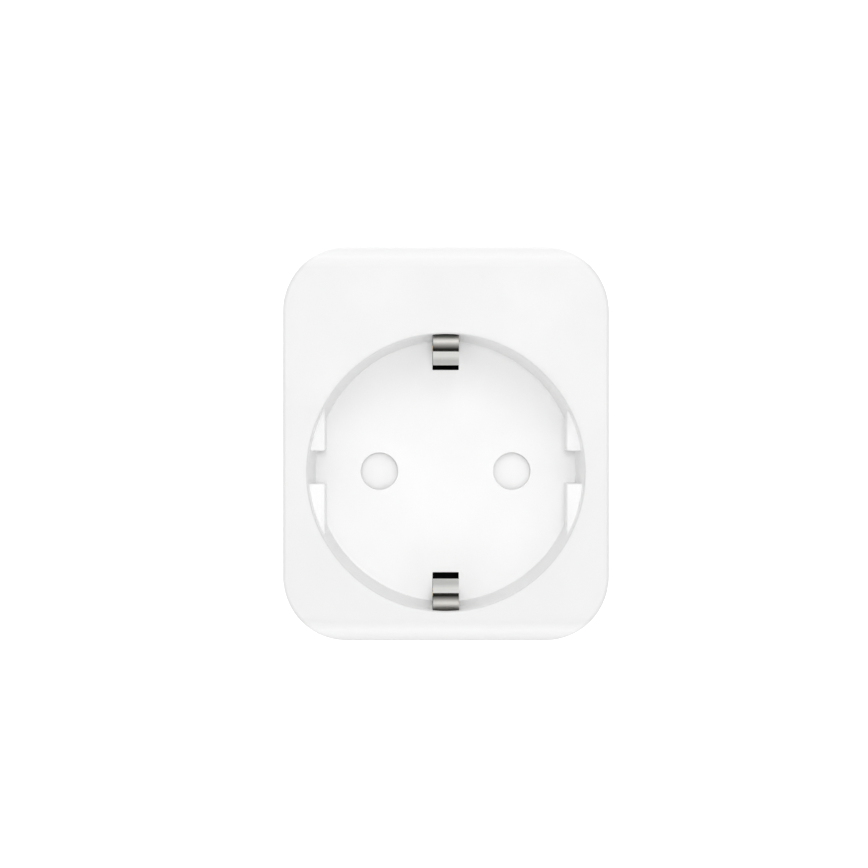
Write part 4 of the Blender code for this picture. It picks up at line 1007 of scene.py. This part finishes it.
NODE_SKINS = {
    NYLON: ("contact_carrier",),
    BRASS: ("live_contact", "neutral_contact", "front_earth_yoke", "earth_rivet", "live_pin_terminal",
            "neutral_pin_terminal"),
    STEEL: ("carrier_screw_1", "carrier_screw_2", "relay_armature", "radio_shield"),
    SPRING: ("shutter_spring",),
    BOARD: ("main_pcb", "control_pcb", "radio_module"),
    RELAY: ("relay_case",),
    BLACK: ("relay_base", "tact_switch", "switch_plunger", "filter_choke", "bridge_rectifier", "metering_ic",
            "supply_ic"),
    CARD: ("insulating_card",),
    COIL: ("relay_coil",),
    COPPER: ("current_shunt",),
    SLEEVE: ("hv_capacitor", "lv_capacitor"),
    RESISTOR: ("fusible_resistor",),
    FILM: ("x2_capacitor",),
    VARISTOR: ("varistor",),
    LED: ("status_led",),
}


# ---------------------------------------------------------------- the whole object

finish(front_cover(), WHITE, "white_plastic", "housing", "front_cover")
finish(rear_housing(), REAR_WHITE, "white_plastic", "housing", "rear_housing")
finish(shutter_rotor(), BRIGHT_WHITE, "white_plastic", "shutter_rotor", "shutter")
finish(button_cap(), REAR_WHITE, "white_plastic", "button", "power_button")
finish(light_window(), CLEAR, "clear_acrylic", "housing", "light_pipe")
finish(earth_clip(1), CLIP_NICKEL, "nickel_plate", "upper_earth_clip", "earth_clip_top")
finish(earth_clip(-1), CLIP_NICKEL, "nickel_plate", "lower_earth_clip", "earth_clip_bottom")
finish(earth_strips(), NICKEL, "nickel_plate", "housing", "rear_earth_yoke")
finish(earth_tube(), NICKEL, "nickel_plate", "housing", "french_earth_tube")
finish(plug_pin("right_pin", 1), NICKEL, "nickel_plate", "housing", "live_pin")
finish(plug_pin("left_pin", -1), NICKEL, "nickel_plate", "housing", "neutral_pin")
for number in range(1, 5):
    finish(housing_screw(number), STEEL, "zinc_steel", "housing", f"housing_screw_{number}")

for skin, names in NODE_SKINS.items():
    for name in names:
        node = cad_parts[name]
        node.data.materials.clear()
        node.data.materials.append(skin)


# ---------------------------------------------------------------- studio

BACK_GLOW = 0.6
ROOM_LIGHT = 0.78
LIGHTS = (    # name, spot in metres, size in metres, power in watts
    ("front", (0.03, -1.5, 0.08), 0.12, 2.9),
    ("high_front", (0.05, -1.3, 0.48), 0.35, 1.4),
)


def stage_sheet():
    """A pale floor that turns up into a backdrop: flat, then a quarter circle, then upright.

    The sheet glows behind the object, so that the backdrop washes out to white.
    """
    floor_z = BOTTOM - 55 * MM
    bend = 0.5
    back = 0.9
    turn = np.linspace(0, np.pi / 2, 24)
    ys = np.concatenate([[-2.2], back + bend * np.sin(turn), [back + bend]])
    zs = np.concatenate([[floor_z], floor_z + bend * (1 - np.cos(turn)), [floor_z + 2.2]])
    xs = np.linspace(-2.4, 2.4, 9)
    grid = np.stack([np.repeat(xs[None, :], len(ys), 0), np.repeat(ys[:, None], len(xs), 1),
                     np.repeat(zs[:, None], len(xs), 1)], axis=-1)
    sheet = surface("studio_sheet", grid, wrap=False, ends=False)
    skin = Skin("pale_paper")
    grain = skin.group(GRAIN, Vector=skin.mapped(), Scale=400.0)
    skin.shader.inputs["Emission Strength"].default_value = 1.0
    behind = skin.span(skin.part("Y"), 0.10, 0.22)
    skin.put(skin.mix(behind, (0, 0, 0), (BACK_GLOW,) * 3), skin.shader.inputs["Emission Color"])
    skin.relief(grain["Height"], 0.01)
    sheet.data.materials.append(skin.paint(skin.mix(grain["Cloud"], (0.85,) * 3, (0.87,) * 3), 0.9))
    sheet.data.shade_smooth()


def soft_light(name, spot, aim, size, power):
    """A square soft light that points from its spot to its aim."""
    lamp = bpy.data.lights.new(name, "AREA")
    lamp.shape = "SQUARE"
    lamp.size = size
    lamp.energy = power
    holder = bpy.data.objects.new(name, lamp)
    bpy.context.scene.collection.objects.link(holder)
    holder.location = spot
    holder.rotation_euler = (Vector(aim) - Vector(spot)).to_track_quat("-Z", "Y").to_euler()


def studio():
    """The sheet, an even white room and two soft lights in front of the object."""
    stage_sheet()
    world = bpy.data.worlds.new("studio")
    world.use_nodes = True
    world.node_tree.nodes["Background"].inputs["Color"].default_value = (1, 1, 1, 1)
    world.node_tree.nodes["Background"].inputs["Strength"].default_value = ROOM_LIGHT
    bpy.context.scene.world = world
    for name, spot, size, power in LIGHTS:
        soft_light(name, spot, (0, 0, 0), size, power)
    bpy.context.scene.view_settings.view_transform = "Standard"


def camera():
    """A long lens, a little above and to the left of the socket's axis."""
    lens = bpy.data.cameras.new("camera")
    lens.sensor_width = 36.0
    lens.lens = 221.8
    lens.clip_start = 0.01
    eye = bpy.data.objects.new("camera", lens)
    bpy.context.scene.collection.objects.link(eye)
    spot = Vector((-2.2 * MM, FACE - 0.75, 9.0 * MM))
    aim = Vector((-1.68 * MM, FACE, 5.41 * MM))
    eye.location = spot
    eye.rotation_euler = (aim - spot).to_track_quat("-Z", "Y").to_euler()
    bpy.context.scene.camera = eye


studio()
camera()
